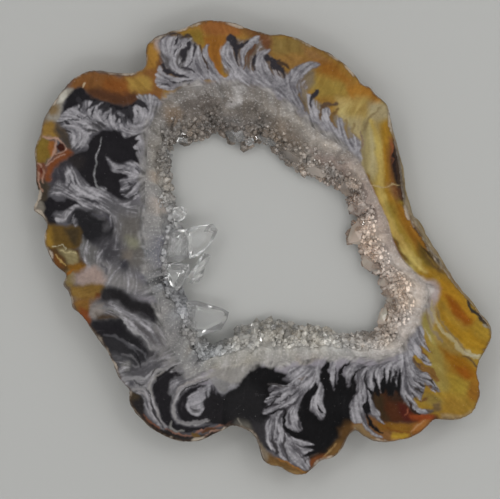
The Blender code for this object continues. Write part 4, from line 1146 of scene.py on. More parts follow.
def quartz_colour(spots):
    """The quartz's colour at places round the hollow, with cloudy patches and brownish ones."""
    angles = [row[0] for row in QUARTZ_COLOURS]
    colours = np.array([tint(*row[1]) for row in QUARTZ_COLOURS])
    angle = quartz_angle(spots)
    plain = np.column_stack([np.interp(angle, angles, colours[:, k]) for k in range(3)])
    cloudy, brown, grain = (spot_noise(spots, *noise)[:, None]
                            for noise in (QUARTZ_CLOUDS, QUARTZ_BROWNS, QUARTZ_GRAIN))
    varied = plain * (1 + CLOUD_DEPTH * cloudy + GRAIN_DEPTH * grain)
    return varied * (1 + BROWN_DEPTH * brown * BROWN_HUE)


def lining_colour(spots):
    """Cloudy quartz with darker and browner patches, one painted highlight, painted shadow beside the
    large crystals on the left, and painted shade in the dark gaps between crystals.
    """
    lining = Pattern(*in_picture(spots))
    lining.ground = quartz_colour(spots)
    for colour, softness, strength, *corners in (
            ((90,82,76), 6, .7, 178,102, 196,96, 214,98, 222,106, 214,116, 196,118, 182,114),
            ((86,78,70), 6, .7, 236,104, 250,99, 258,108, 254,120, 240,120),
            ((176,171,168), 3, .7, 226,106, 231,102, 240,100, 240,104, 232,108),
            ((122,102,82), 6, .7, 164,112, 174,108, 182,116, 178,126, 168,126),
            ((140,132,122), 8, .6, 262,100, 290,104, 318,128, 336,150, 318,146, 290,124, 270,112),
            ((112,98,84), 8, .6, 268,118, 288,124, 306,146, 290,150, 272,136),
            ((136,116,106), 8, .6, 312,150, 340,158, 352,178, 336,180, 316,168),
            ((140,122,112), 6, .7, 360,168, 372,196, 384,222, 394,244, 388,250, 374,222, 362,192),
            ((146,130,114), 3, .6, 152,174, 158,172, 160,180, 155,184),
            ((116,110,102), 6, .6, 148,128, 160,132, 164,160, 154,170, 148,150),
            # painted shadow: bluish-grey patches beside the large crystals on the left
            ((94,93,101), 5, .8, 156,236, 166,238, 167,262, 158,264),
            ((84,83,90), 4, .8, 151,262, 160,259, 161,272, 153,273),
            # painted highlight: a pale patch where the quartz glints
            ((164,152,142), 5, .7, 154,200, 166,198, 168,212, 158,214),
            ((112,110,108), 5, .7, 158,290, 172,292, 178,306, 166,306),
            ((96,94,94), 6, .6, 162,312, 176,314, 186,334, 176,344, 166,334),
            ((102,92,78), 4, .8, 182,344, 190,346, 192,358, 184,358),
            ((84,82,84), 4, .7, 190,352, 200,352, 202,362, 192,362),
            ((152,146,132), 8, .6, 206,358, 240,352, 256,360, 232,374, 210,372),
            ((146,134,122), 6, .7, 296,358, 314,354, 320,366, 304,374)):
        lining.area(corners, colour, softness, strength=strength)
    # painted shade: near-black strokes in the deep gaps between crystals, at the large crystals' roots
    # and along the crust's edge at the lower left
    lining.strokes((
        (164,268,1.2, 167,273,2.2, 163,279,1.8),
        (152,286,.8, 157,284,2, 160,284,.6),
        (163,281,1, 168,285,1.5, 173,290,.5),
        (176,118,.5, 174,124,1.1, 170,128,.5),
        (193,322,.8, 194,334,1.5, 198,348,.8),
        (190,356,.5, 196,358,1, 200,360,.5)), plume=0, colour=(30, 29, 30), ragged=0.6, softness=2)
    return lining.ground


BORDER_REACH = 16               # how far from the quartz the chalcedony can be cloudy
BORDER_SIZE, BORDER_SEED = 9, 401
BORDER_WIDTH, BORDER_UNEVEN = 4.5, 6.0
BORDER_SOFT, CRISP_SOFT = 7, 5
CRISP_PLACE, CRISP_SPREAD = (392, 212), (48, 78)    # where the border is a crisp line
BORDER_PALE, CRISP_LINE = tint(168, 164, 161), tint(158, 142, 134)
# how bright the pale border is from the left to the right
BORDER_LIGHT = ((155, 0.72), (210, 1.0), (245, 1.0), (275, 0.84), (330, 0.86))
WISP_SIZE, WISP_SEED = 5, 411
RIM_REACH = 6
CHIP_SIZE, CHIP_SEED = 14, 421
WHOLE_PLACE, WHOLE_SPREAD = (399, 172), (9, 24)     # the stripe that reaches the rim unchipped
FRESH_CHIP, OLD_CHIP = tint(182, 170, 154), tint(74, 56, 40)


def nearness(stone, loop, reach):
    """How near the pattern's places are to a closed loop, in picture points, up to a reach."""
    best = np.full(len(stone.x), float(reach))
    for (x0, y0), (x1, y1) in zip(loop, np.roll(loop, -1, axis=0)):
        near = np.flatnonzero((np.abs(stone.x - x0) < reach) & (np.abs(stone.y - y0) < reach))
        dx, dy = x1 - x0, y1 - y0
        ax, ay = stone.x[near] - x0, stone.y[near] - y0
        t = np.clip((ax * dx + ay * dy) / (dx * dx + dy * dy + 1e-9), 0, 1)
        best[near] = np.minimum(best[near], np.hypot(ax - dx * t, ay - dy * t))
    return best


def cloudy_border(x, y, quartz):
    """Where chalcedony and quartz meet: the colour, the border's width, and how crisp it is."""
    uneven = cloud_noise(x, y, BORDER_SIZE, BORDER_SEED, 3)
    across, down = (x - CRISP_PLACE[0]) / CRISP_SPREAD[0], (y - CRISP_PLACE[1]) / CRISP_SPREAD[1]
    crisp = np.minimum(1.2 * np.exp(-across ** 2 - down ** 2), 1)
    share = np.clip(0.35 + 0.8 * uneven, 0, 1) * (1 - 0.85 * crisp)
    pale = BORDER_PALE * np.interp(x, *zip(*BORDER_LIGHT))[:, None]
    width = (BORDER_WIDTH + BORDER_UNEVEN * uneven) * (1 - crisp)
    return quartz + (pale - quartz) * share[:, None], width, crisp


def fade_to_quartz(stone, wall, quartz):
    """Turns chalcedony into cloudy quartz at the hollow: unevenly, or at a crisp pale line."""
    away = nearness(stone, wall, BORDER_REACH)
    cloudy, width, crisp = cloudy_border(stone.x, stone.y, quartz)
    line = crisp * soft_step(1.2 - away, 1.2)
    stone.ground += (CRISP_LINE - stone.ground) * line[:, None]
    share = soft_step(width - 1.5 * crisp - away, BORDER_SOFT - CRISP_SOFT * crisp)
    wisps = 1 + 0.9 * (stone.fibre - 0.5)
    wisps = wisps + 0.3 * cloud_noise(stone.x, stone.y, WISP_SIZE, WISP_SEED, 3)
    stone.ground += (cloudy * wisps[:, None] - stone.ground) * share[:, None]
    stone.plume *= 1 - 0.85 * share


def chip_rim(stone, rim):
    """Ends the polish at the rim in small chips, pale where they are fresh and brown between."""
    away = nearness(stone, rim, RIM_REACH)
    uneven = cloud_noise(stone.x, stone.y, CHIP_SIZE, CHIP_SEED, 4)
    whole = np.exp(-((stone.x - WHOLE_PLACE[0]) / WHOLE_SPREAD[0]) ** 2
                   - ((stone.y - WHOLE_PLACE[1]) / WHOLE_SPREAD[1]) ** 4)
    pale = 0.75 * soft_step(0.5 + 3.0 * uneven - away, 1.2)
    pale = pale * np.clip(2.5 * uneven - 2.5 * whole, 0, 1)
    brown = 0.5 * soft_step(1.6 + 2.0 * uneven - away, 2.4)
    stone.ground += (OLD_CHIP - stone.ground) * brown[:, None]
    stone.ground += (FRESH_CHIP - stone.ground) * pale[:, None]
    stone.plume *= 1 - np.maximum(pale, brown)


class Value:
    """A shader socket that takes part in sums and products; each adds its Math node."""

    def __init__(self, tree, socket=None):
        self.tree, self.socket = tree, socket

    def node(self, kind, settings=None, sockets=None, output=0):
        """A new node with its settings made first, then its sockets linked or set."""
        made = self.tree.nodes.new(kind)
        for name, value in (settings or {}).items():
            setattr(made, name, value)
        for name, value in (sockets or {}).items():
            if isinstance(value, Value):
                self.tree.links.new(value.socket, made.inputs[name])
            else:
                made.inputs[name].default_value = value
        return Value(self.tree, made.outputs[output] if made.outputs else None)

    def math(self, operation, first, second=0.0):
        return self.node("ShaderNodeMath", {"operation": operation}, {0: first, 1: second})

    def __add__(self, other):
        return self.math("ADD", self, other)

    __radd__ = __add__

    def __sub__(self, other):
        return self.math("SUBTRACT", self, other)

    def __rsub__(self, other):
        return self.math("SUBTRACT", other, self)

    def __mul__(self, other):
        return self.math("MULTIPLY", self, other)

    __rmul__ = __mul__

    def clipped(self):
        return self.math("MINIMUM", self.math("MAXIMUM", self, 0.0), 1.0)

    def ramped(self, low, high):
        """0 below low, 1 above high, and a straight rise between them."""
        return ((self - low) * (1 / (high - low))).clipped()

    def mixed(self, first, second):
        """A colour between two others, with this value as the second's share."""
        return self.node("ShaderNodeMix", {"data_type": "RGBA"}, {0: self, 6: first, 7: second}, 2)

    def times(self, shade):
        """This colour, darker or lighter by a value."""
        grey = self.node("ShaderNodeCombineColor", None, {0: shade, 1: shade, 2: shade})
        return self.node("ShaderNodeMix", {"data_type": "RGBA", "blend_type": "MULTIPLY"},
                         {0: 1.0, 6: self, 7: grey}, 2)


def rgba(colour):
    return (*[float(channel) for channel in colour], 1.0)


def new_material(name):
    """An empty material: its shader's start and a function that closes it with a finish."""
    material = bpy.data.materials.new(name)
    material.use_nodes = True
    material.node_tree.nodes.clear()
    start = Value(material.node_tree)

    def close(finish, volume=None):
        sockets = {"Surface": start.node("ShaderNodeBsdfPrincipled", None, finish)}
        if volume:
            sockets["Volume"] = volume
        start.node("ShaderNodeOutputMaterial", None, sockets)
        return material

    return start, close


def noise(start, size, detail=3.0, roughness=0.5):
    """Noise from 0 to 1 in the object's own space; size is its largest lump, in metres."""
    return start.node("ShaderNodeTexNoise", None, {
        "Vector": start.node("ShaderNodeTexCoord", output=3), "Scale": 1 / size,
        "Detail": detail, "Roughness": roughness})


COLOUR, VALUE = 0, 2            # outputs of an Attribute node


def held(start, name, kind=VALUE):
    """What the mesh holds at its points under a name: a value, or a colour."""
    return start.node("ShaderNodeAttribute", {"attribute_name": name}, output=kind)


def build_piece(name, spots, triangles, values, colours, material, sharp=None):
    """A mesh object from arrays, with values and colours at its points for the material.

    It is flat-faced, or smooth but for edges sharper than an angle in degrees.
    """
    mesh = bpy.data.meshes.new(name)
    mesh.vertices.add(len(spots))
    mesh.vertices.foreach_set("co", np.asarray(spots, np.float32).ravel())
    mesh.loops.add(3 * len(triangles))
    mesh.loops.foreach_set("vertex_index", np.asarray(triangles, np.int32).ravel())
    mesh.polygons.add(len(triangles))
    mesh.polygons.foreach_set("loop_start", np.arange(len(triangles), dtype=np.int32) * 3)
    mesh.update(calc_edges=True)
    mesh.validate()
    for key, amounts in values.items():
        layer = mesh.attributes.new(key, "FLOAT", "POINT")
        layer.data.foreach_set("value", np.asarray(amounts, np.float32))
    for key, tints in colours.items():
        layer = mesh.attributes.new(key, "FLOAT_COLOR", "POINT")
        full = np.column_stack([tints, np.ones(len(tints))])
        layer.data.foreach_set("color", np.asarray(full, np.float32).ravel())
    if sharp:
        mesh.shade_smooth()
        mesh.set_sharp_from_angle(angle=math.radians(sharp))
    else:
        mesh.shade_flat()
    piece = bpy.data.objects.new(name, mesh)
    bpy.context.scene.collection.objects.link(piece)
    mesh.materials.append(material)
    return piece


QUARTZ_IOR = 1.54               # chalcedony is quartz too
# the stone's noises, from the largest to the smallest, in metres
CLOUD_SIZE, CRUMB_SIZE, DUST_SIZE = 0.0035, 0.0028, 0.0012
GRAIN_SIZE, SPECK_SIZE = 0.00045, 0.00022
HAZE = 0.04                     # of lilac over everything polished
RIND_DARK, RIND_PALE = tint(66, 50, 38), tint(150, 126, 98)
# RIND_DUST is pale dust on the rind; PIT_GLINT is a painted highlight, pale glints in small pits of the
# polish
RIND_DUST, PIT_GLINT = tint(190, 180, 164), tint(196, 194, 190)
RIND_GROUND = 0.45              # of the pattern's colour in the rind's
POLISH, RIND_MATT = 0.13, 0.55
RELIEF = 0.0004


def polished_agate():
    start, close = new_material("polished agate and rind")
    ground = held(start, "ground", COLOUR)
    plume, skin, fibre = (held(start, name) for name in ("plume", "skin", "fibre"))
    cloud = noise(start, CLOUD_SIZE, 5)
    grain = noise(start, GRAIN_SIZE, 4, roughness=0.65)
    speck = noise(start, SPECK_SIZE, 2)
    whiteness = (plume * (0.7 + 0.6 * grain)).clipped()
    light = (fibre + 0.9 * (grain - 0.5) + 0.4 * (cloud - 0.5)).clipped()
    polished = ground.times(0.6 + 0.25 * fibre + 0.3 * cloud + 0.5 * (grain - 0.5))
    polished = (HAZE * cloud * grain).mixed(polished, rgba(LILAC))
    polished = whiteness.mixed(polished, light.mixed(rgba(SHADE), rgba(PLUME)))
    dust = noise(start, DUST_SIZE, 4).ramped(0.52, 0.75)
    crumb = noise(start, CRUMB_SIZE, 6, roughness=0.7).ramped(0.35, 0.65)
    rind = dust.mixed(crumb.mixed(rgba(RIND_DARK), rgba(RIND_PALE)), rgba(RIND_DUST))
    rind = start.node("ShaderNodeMix", {"data_type": "RGBA"},
                      {0: RIND_GROUND, 6: rind, 7: ground}, 2)
    # painted highlight: small pits in the polish are painted pale as glints, and are a little rougher
    pits = 0.6 * speck.ramped(0.73, 0.82) * (1 - skin)
    colour = pits.mixed(skin.mixed(polished, rind), rgba(PIT_GLINT))
    height = skin * (0.6 * crumb + 0.4 * grain) + (1 - skin) * 0.02 * grain
    normal = start.node("ShaderNodeBump", None,
                        {"Strength": 0.6, "Distance": RELIEF, "Height": height})
    return close({"Base Color": colour, "Roughness": POLISH + RIND_MATT * skin + 0.1 * pits,
                  "IOR": QUARTZ_IOR, "Normal": normal})


fade_to_quartz(stone, np.stack(in_picture(wall[0]), axis=1), lining_colour(stone_spots))
chip_rim(stone, np.stack(in_picture(rind_rows[0]), axis=1))
skin = np.zeros(len(stone_spots))
skin[len(face_spots) + len(back_spots):-WALL_STATIONS] = 1.0
agate = build_piece(
    "plume_agate_ring", stone_spots, stone_triangles,
    {"plume": stone.plume, "fibre": stone.fibre, "skin": skin},
    {"ground": stone.ground}, polished_agate(), sharp=38)
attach(agate, "root")
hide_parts("agate_slice")

# The quartz lining
# Where the chalcedony ends, coarse cloudy quartz lines the hollow: a sawn band flush with
# the polished face, then a slope of grown-together crystals down to the hole's edge.
BED_STATIONS, SLOPE_ROWS = 900, 18
SINKING_ROWS = SLOPE_ROWS / 3   # in which the slope sinks from the sawn band to its depth
SLOPE_BEND = 1.3                # above 1, the slope starts gently and gets steeper
BED_DEPTH = 0.00025             # how far the slope lies below the crystals' feet
LINE_WANDER = 0.0012            # how far the line where the slope starts strays
LINE_SIZE, LINE_SEED = 12, 461
SAWN_SHARE, SLOPE_SHARE = 0.6, 0.4      # of the sawn band's and the slope's width, at most
BED_LUMP, BED_SEED, BED_GRIT, BED_GRIT_SEED = 5.0, 451, 0.15, 5
HOLE_DRAFT, HOLE_HEIGHT = 0.0006, 0.0013    # how the hole's edge overhangs the lower face
HOLLOW_PLACE = np.array([*HOLLOW_MIDDLE, 0.0])


def started_towards(loop, direction):
    """The loop, turned to start where it lies in a direction from the hollow's middle."""
    arm = loop - HOLLOW_PLACE
    angle = np.arctan2(arm[:, 1], arm[:, 0]) - direction
    return np.roll(loop, -np.abs((angle + math.pi) % (2 * math.pi) - math.pi).argmin(), axis=0)


crust_spots, crust_triangles = welded(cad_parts["quartz_crust"])
towards = math.atan2(*(wall_loops[0][0] - HOLLOW_PLACE)[1::-1])
line_loop, foot_loop = (started_towards(loops_at(crust_spots, crust_triangles, height)[-1], towards)
                        for height in (THICKNESS, 0.0))
bed_steps = even_steps(line_loop, BED_STATIONS)
line, foot = along_loop(line_loop, bed_steps), along_loop(foot_loop, bed_steps)
arm = foot - HOLLOW_PLACE
arm[:, 2] = 0.0
towards_middle = -arm / np.linalg.norm(arm, axis=1)[:, None]
hole = foot + towards_middle * HOLE_DRAFT
hole[:, 2] = HOLE_HEIGHT
behind = [along_loop(loop, bed_steps) for loop in wall_loops]
sawn_width = np.linalg.norm(line - behind[0], axis=1)
slope_width = np.linalg.norm((hole - line)[:, :2], axis=1)
wander = LINE_WANDER * spot_noise(line, LINE_SIZE, LINE_SEED)
wander = np.clip(wander, -SAWN_SHARE * sawn_width, SLOPE_SHARE * slope_width)
line = line + towards_middle * wander[:, None]


def slope_place(station, share, sunk=0.0):
    """Places on the crystal slope and its outward direction there, from the line to the hole."""
    upper, lower, inwards = (
        np.stack([np.interp(station, np.arange(BED_STATIONS), row[:, k], period=BED_STATIONS)
                  for k in range(3)], 1) for row in (line, hole, towards_middle))
    share = np.asarray(share)[:, None]
    drop = THICKNESS - HOLE_HEIGHT
    place = upper + (lower - upper) * share
    place[:, 2] = THICKNESS - drop * share[:, 0] ** SLOPE_BEND
    run = np.linalg.norm((lower - upper)[:, :2], axis=1)[:, None]
    facing = (inwards * drop + np.array([0, 0, 1.0]) * run) / np.hypot(drop, run)
    return place - facing * sunk, facing


stations = np.arange(BED_STATIONS)
bed_rows = [behind[0], line]
grit = np.random.default_rng(BED_GRIT_SEED)
for row in range(1, SLOPE_ROWS):
    sunk = BED_DEPTH * min(1, row / SINKING_ROWS)
    place, facing = slope_place(stations, np.full(BED_STATIONS, row / SLOPE_ROWS), sunk)
    lump = spot_noise(place, BED_LUMP, BED_SEED, 2)
    lump = lump + grit.uniform(-BED_GRIT, BED_GRIT, BED_STATIONS)
    bed_rows.append(place + facing * (sunk * np.clip(lump, -1.0, 1.0))[:, None])
bed_rows += [hole, foot, behind[2], behind[1]]
bed_spots = np.concatenate(bed_rows)
numbers = np.arange(len(bed_spots)).reshape(len(bed_rows), BED_STATIONS)
bed_triangles = np.concatenate([strip(numbers[k], numbers[(k + 1) % len(bed_rows)])
                                for k in range(len(bed_rows))])
# 0 at the chalcedony, 1 where the slope starts and 2 at the hole
bed_inwards = np.repeat([0.0, 1.0, *np.linspace(1, 2, SLOPE_ROWS + 1)[1:], 2.0, 1.0, 0.0],
                        BED_STATIONS)
LINING_LIGHT, LIGHTEST = 1.3, 0.95


def lining_hue():
    """The lining's painted colour, which passes into the chalcedony's border without a seam."""
    quartz = lining_colour(bed_spots)
    cloudy = cloudy_border(*in_picture(bed_spots), quartz)[0]
    inwards = np.clip(bed_inwards, 0, 1)[:, None]
    return np.clip(cloudy + (LINING_LIGHT * quartz - cloudy) * inwards, 0, LIGHTEST)


HAZE_SIZE, VEIN_SIZE, CELL_SIZE, FLECK_SIZE = 0.0030, 0.0011, 0.0011, 0.00035
# painted highlight: the pale colour of flecks that stand in for glints on the sawn quartz
GLINT_FLECK = tint(188, 184, 180)
QUARTZ_RELIEF = 0.00025


def sawn_quartz():
    start, close = new_material("cloudy sawn quartz")
    cloud = noise(start, HAZE_SIZE, 4)
    vein = noise(start, VEIN_SIZE, 5, roughness=0.65)
    # painted highlight: pale flecks that stand in for the glints of the sawn quartz
    glint_flecks = noise(start, FLECK_SIZE, 2).ramped(0.58, 0.72)
    cells = start.node("ShaderNodeTexVoronoi", {"feature": "F1"}, {
        "Vector": start.node("ShaderNodeTexCoord", output=3), "Scale": 1 / CELL_SIZE}, 1)
    cut = start.node("ShaderNodeSeparateColor", None, {0: cells})
    grit = noise(start, FLECK_SIZE, 3, roughness=0.7)
    shade = 0.03 + 0.35 * cloud + 0.6 * vein + 0.16 * cut + 0.6 * grit
    colour = (glint_flecks * 0.5).mixed(held(start, "hue", COLOUR).times(shade), rgba(GLINT_FLECK))
    normal = start.node("ShaderNodeBump", None, {
        "Strength": 0.35, "Distance": QUARTZ_RELIEF,
        "Height": vein + 0.5 * held(start, "inwards") * cut})
    return close({"Base Color": colour, "Roughness": 0.12 + 0.2 * vein, "IOR": QUARTZ_IOR,
                  "Normal": normal})


bed = build_piece("quartz_lining", bed_spots, bed_triangles, {"inwards": bed_inwards},
                  {"hue": lining_hue()}, sawn_quartz(), sharp=30)
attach(bed, "root")
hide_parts("quartz_crust")

# The drusy crystals
# Thousands of small six-sided quartz crystals, clear to smoky, stand on the slope with
# their feet grown together. Each is a short prism that ends in six flat faces.
CRYSTAL_SPOTS = 13
# each of these tables gives directions round the hollow in degrees, and a value there: the share
# of the slope where crystals begin to stand free, their size, how light against the crust the
# clearest are, and how light all of them are
CRYSTALS_FROM = ((-180, 0.5), (-140, 0.3), (-100, 0.2), (-60, 0.1), (0, 0.05), (35, 0.25),
                 (60, 0.55), (115, 0.6), (150, 0.5), (180, 0.5))
CRYSTAL_SIZES = ((-180, 1.25), (-130, 1.35), (-60, 1.35), (-30, 1.0), (60, 0.95), (110, 0.95),
                 (150, 1.2), (180, 1.25))
CRYSTAL_TONES = ((-60, 6.0), (-30, 3.2), (50, 2.8), (80, 6.0))
CRYSTAL_LIGHT = ((-180, 1.3), (-130, 1.15), (-90, 1.0), (-50, 1.1), (-25, 1.35), (10, 1.25),
                 (50, 1.0), (110, 1.0), (150, 1.3), (180, 1.3))
# where they begin is uneven: by how much of the slope, the bends' size, and the few that stray
FROM_UNEVEN, FROM_SIZE, FROM_SEED, FROM_SPREAD, STRAY_SHARE = 0.2, 12, 471, 0.25, 0.06
SMALL_RATHER_THAN_LARGE = (1.4, 2.8)    # a beta distribution: few of them grew large
SIZE_AT_LINE = 0.4              # of the size that crystals reach at the hole
SHORTEST_PRISM = 0.0002
# shares of a crystal's radius: how flat and how uneven its six sides are, how uneven the ends of
# its sides, how far its tip lies aside and how high the tip is; its top is slightly narrower
FLATNESS, SIDE_UNEVEN, END_UNEVEN, TIP_ASIDE = (0.72, 1.0), (0.9, 1.1), 0.22, 0.25
TIP_HEIGHTS, TOP_NARROWED = (0.8, 1.2), 0.97
FACE_CLEARANCE, TOP_CLEARANCE, FOOT_CLEARANCE = 0.00002, 0.0002, 0.0003
PATCH_SIZE, PATCH_DEPTH, LIGHTEST_CRYSTAL = 16, 0.35, 0.92


def round_hollow(table, spots):
    """A table's value in the direction where places lie."""
    return np.interp(quartz_angle(spots), *zip(*table))


def crystals_mesh(roots, axes, radii, lengths, tips, seed):
    """Points and triangles of many six-sided crystals; tips are the heights of their points."""
    random = np.random.default_rng(seed)
    count = len(roots)
    helper = random.normal(size=(count, 3))
    across = np.cross(axes, helper)
    across /= np.linalg.norm(across, axis=1)[:, None]
    beside = np.cross(axes, across)
    turns = np.arange(6) * math.pi / 3
    squash = random.uniform(*FLATNESS, (count, 1))
    wobble = random.uniform(*SIDE_UNEVEN, (count, 6)) * radii[:, None]
    ring = (across[:, None] * (np.cos(turns) * wobble)[..., None]
            + beside[:, None] * (np.sin(turns) * wobble * squash)[..., None])
    uneven = random.uniform(-END_UNEVEN, END_UNEVEN, (count, 6)) * radii[:, None]
    ends = axes[:, None] * (lengths[:, None] + uneven)[..., None]
    low = roots[:, None] + ring
    high = roots[:, None] + ring * TOP_NARROWED + ends
    aside = random.uniform(-TIP_ASIDE, TIP_ASIDE, (count, 2)) * radii[:, None]
    apex = roots + axes * (lengths + tips)[:, None] + across * aside[:, :1] + beside * aside[:, 1:]
    spots = np.concatenate([low, high, apex[:, None]], axis=1).reshape(-1, 3)
    faces = []
    for k in range(6):
        n = (k + 1) % 6
        faces += [(k, n, 6 + n), (k, 6 + n, 6 + k), (6 + k, 6 + n, 12)]
    faces += [(0, 2, 1), (0, 3, 2), (0, 4, 3), (0, 5, 4)]
    triangles = np.array(faces)[None] + CRYSTAL_SPOTS * np.arange(count)[:, None, None]
    return spots, triangles.reshape(-1, 3)


def leaning(facing, lean, seed):
    """Directions near the slope's own, each leaning another way."""
    axes = facing + np.random.default_rng(seed).normal(0, lean, facing.shape)
    return axes / np.linalg.norm(axes, axis=1)[:, None]


def druse_layer(name, material, count, shares, radius, relief, lean, brightness, seed):
    """One kind of small crystals, strewn over part of the slope from the line to the hole."""
    random = np.random.default_rng(seed)
    station, share = random.uniform(0, BED_STATIONS, count), random.uniform(*shares, count)
    down = np.clip(share, 0, 1)
    roots, facing = slope_place(station, down, BED_DEPTH)
    begin = round_hollow(CRYSTALS_FROM, roots)
    begin += FROM_UNEVEN * spot_noise(roots, FROM_SIZE, FROM_SEED, 2)
    grown = random.uniform(0, 1, count) < STRAY_SHARE + soft_step(share - begin, FROM_SPREAD)
    axes = leaning(facing, lean, seed + 1)
    largeness = random.beta(*SMALL_RATHER_THAN_LARGE, count)
    largeness *= SIZE_AT_LINE + (1 - SIZE_AT_LINE) * down
    radii = radius[0] + (radius[1] - radius[0]) * largeness
    radii *= round_hollow(CRYSTAL_SIZES, roots)
    lengths = SHORTEST_PRISM + radii * random.uniform(*relief, count)
    tips = radii * random.uniform(*TIP_HEIGHTS, count)
    top = roots[:, 2] + axes[:, 2] * (lengths + tips) + radii
    kept = grown & (top < THICKNESS + TOP_CLEARANCE) & (roots[:, 2] > FOOT_CLEARANCE)
    roots = roots[kept]
    spots, triangles = crystals_mesh(roots, axes[kept], radii[kept], lengths[kept], tips[kept],
                                     seed + 2)
    spots[:, 2] = np.clip(spots[:, 2], 0.0, THICKNESS - FACE_CLEARANCE)
    patches = spot_noise(roots, PATCH_SIZE, seed + 3)
    tone = random.uniform(*brightness, kept.sum()) * (1 + PATCH_DEPTH * patches)
    tone *= round_hollow(CRYSTAL_LIGHT, roots)
    tone = np.minimum(tone, round_hollow(CRYSTAL_TONES, roots))[:, None]
    hue = quartz_colour(roots) * tone
    hue *= np.minimum(LIGHTEST_CRYSTAL / hue.max(axis=1), 1)[:, None]
    hue = np.repeat(hue, CRYSTAL_SPOTS, axis=0)
    layer = build_piece(name, spots, triangles, {}, {"hue": hue}, material)
    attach(layer, "root")


def drusy_quartz(name, transmission):
    start, close = new_material(name)
    return close({"Base Color": held(start, "hue", COLOUR), "Roughness": 0.07,
                  "IOR": QUARTZ_IOR, "Transmission Weight": transmission})


druse_layer("drusy_crystals", drusy_quartz("milky drusy quartz", 0.0), 3800, (-0.05, 1.0),
            radius=(0.00020, 0.00085), relief=(-0.4, 0.3), lean=0.6, brightness=(0.9, 1.9), seed=17)
druse_layer("clear_druse", drusy_quartz("clear drusy quartz", 0.6), 1900, (0.2, 1.04),
            radius=(0.00020, 0.00080), relief=(0.0, 0.9), lean=0.5, brightness=(2.4, 3.6), seed=27)
druse_layer("edge_crystals", drusy_quartz("glassy quartz", 0.85), 420, (0.6, 1.05),
            radius=(0.0004, 0.0011), relief=(0.0, 0.9), lean=0.6, brightness=(5.0, 6.0), seed=37)

# The large crystals
# Round the hole some crystals grew larger and overhang it, the largest on the left. They
# are water-clear on the left and at the bottom, and tan on the right; faces are flat.
LARGE_SEED, TAN_SEED, TAN_LIGHT, TAN_LIGHTEST = 41, 43, 2.3, 0.9
OUTLINE_STRAY, RIDGE_STRAY = 0.35, 0.3  # how uneven the heights are, in millimetres
FLATTENED = 9                   # degrees; faces that meet at less become one
# each row has the heights of a crystal's bottom ridge, widest outline and top ridge in
# millimetres, then the outline and the ridge as x, y, x, y in picture points
LARGE_CRYSTALS = (
    ((2.8, 4.4, 6.0), (185,231, 190,227, 213,224, 218,230, 214,239, 205,250, 199,256, 190,259, 185,254),
     (192,236, 208,231, 204,243, 193,250)),
    ((3.0, 4.6, 6.2), (164,236, 170,229, 186,229, 191,240, 189,257, 180,262, 168,262, 163,250), (172,238,
     183,238, 181,252, 171,253)),
    ((2.2, 3.6, 5.0), (187,276, 195,265, 200,257, 204,253, 211,255, 208,263, 205,268, 196,272, 191,280),
     (197,265, 207,257, 203,265)),
    ((1.6, 2.6, 3.6), (188,283, 192,274, 205,268, 203,276, 199,282, 191,284), (194,277, 201,274)),
    ((3.0, 4.4, 5.8), (164,266, 176,262, 189,264, 190,273, 183,284, 178,291, 170,289, 163,280), (172,270,
     183,270, 177,282)),
    ((2.2, 3.6, 4.8), (186,300, 198,301, 222,308, 229,312, 227,320, 221,330, 211,333, 199,337, 190,334,
     186,318), (190,308, 221,314, 223,317, 205,327, 192,326)),
    ((3.0, 4.2, 5.2), (173,208, 181,206, 185,208, 187,213, 184,219, 179,222, 172,220), (177,212,
     182,214)),
    ((3.0, 4.4, 5.4), (171,222, 177,220, 181,227, 178,233, 173,230), (175,224, 177,229)),
    ((2.6, 3.2, 3.8), (176,142, 179,137, 188,138, 187,143), (180,140, 185,140)),
    ((1.5, 2.6, 3.8), (224,131, 228,127, 244,126, 250,132, 244,141, 236,143, 230,141), (231,132, 243,131,
     237,138)),
    ((2.0, 2.6, 3.2), (245,140, 249,137, 254,139, 254,144, 250,146, 246,145), (249,141, 251,142)),
    ((1.6, 2.6, 3.6), (256,136, 262,132, 275,136, 280,143, 277,146, 268,146, 260,140), (263,137,
     273,141)),
    ((3.0, 3.8, 4.6), (161,147, 164,145, 173,155, 170,158, 166,155), (165,149, 170,155)),
    ((1.4, 2.6, 3.8), (235,329, 239,326, 243,331, 241,340, 237,338), (239,330, 239,336)),
    ((1.4, 2.8, 4.0), (243,332, 248,329, 258,331, 262,336, 258,342, 250,343, 244,340), (248,334, 257,335,
     252,339)),
    ((1.8, 2.6, 3.6), (259,328, 264,325, 268,329, 265,334, 260,332), (263,328, 264,331)),
    ((1.4, 2.6, 3.8), (269,326, 273,323, 279,326, 278,333, 270,333), (271,328, 275,325, 276,329)),
    ((1.4, 2.4, 3.4), (281,327, 284,323, 290,326, 289,332, 283,333), (284,326, 287,329)),
    ((1.4, 2.4, 3.4), (292,326, 295,324, 301,329, 298,334, 292,332), (295,327, 298,330)),
    ((1.8, 3.0, 4.2), (302,338, 306,332, 310,332, 309,339, 305,342), (305,337, 308,334)),
    ((1.4, 2.2, 3.2), (312,335, 316,330, 324,332, 326,338, 316,339), (316,333, 322,336)),
    ((1.4, 2.2, 3.0), (338,339, 344,335, 348,337, 346,342, 340,342), (341,339, 346,338)),
    ((1.4, 2.2, 3.0), (356,338, 358,333, 362,336, 361,340), (358,336, 360,338)))
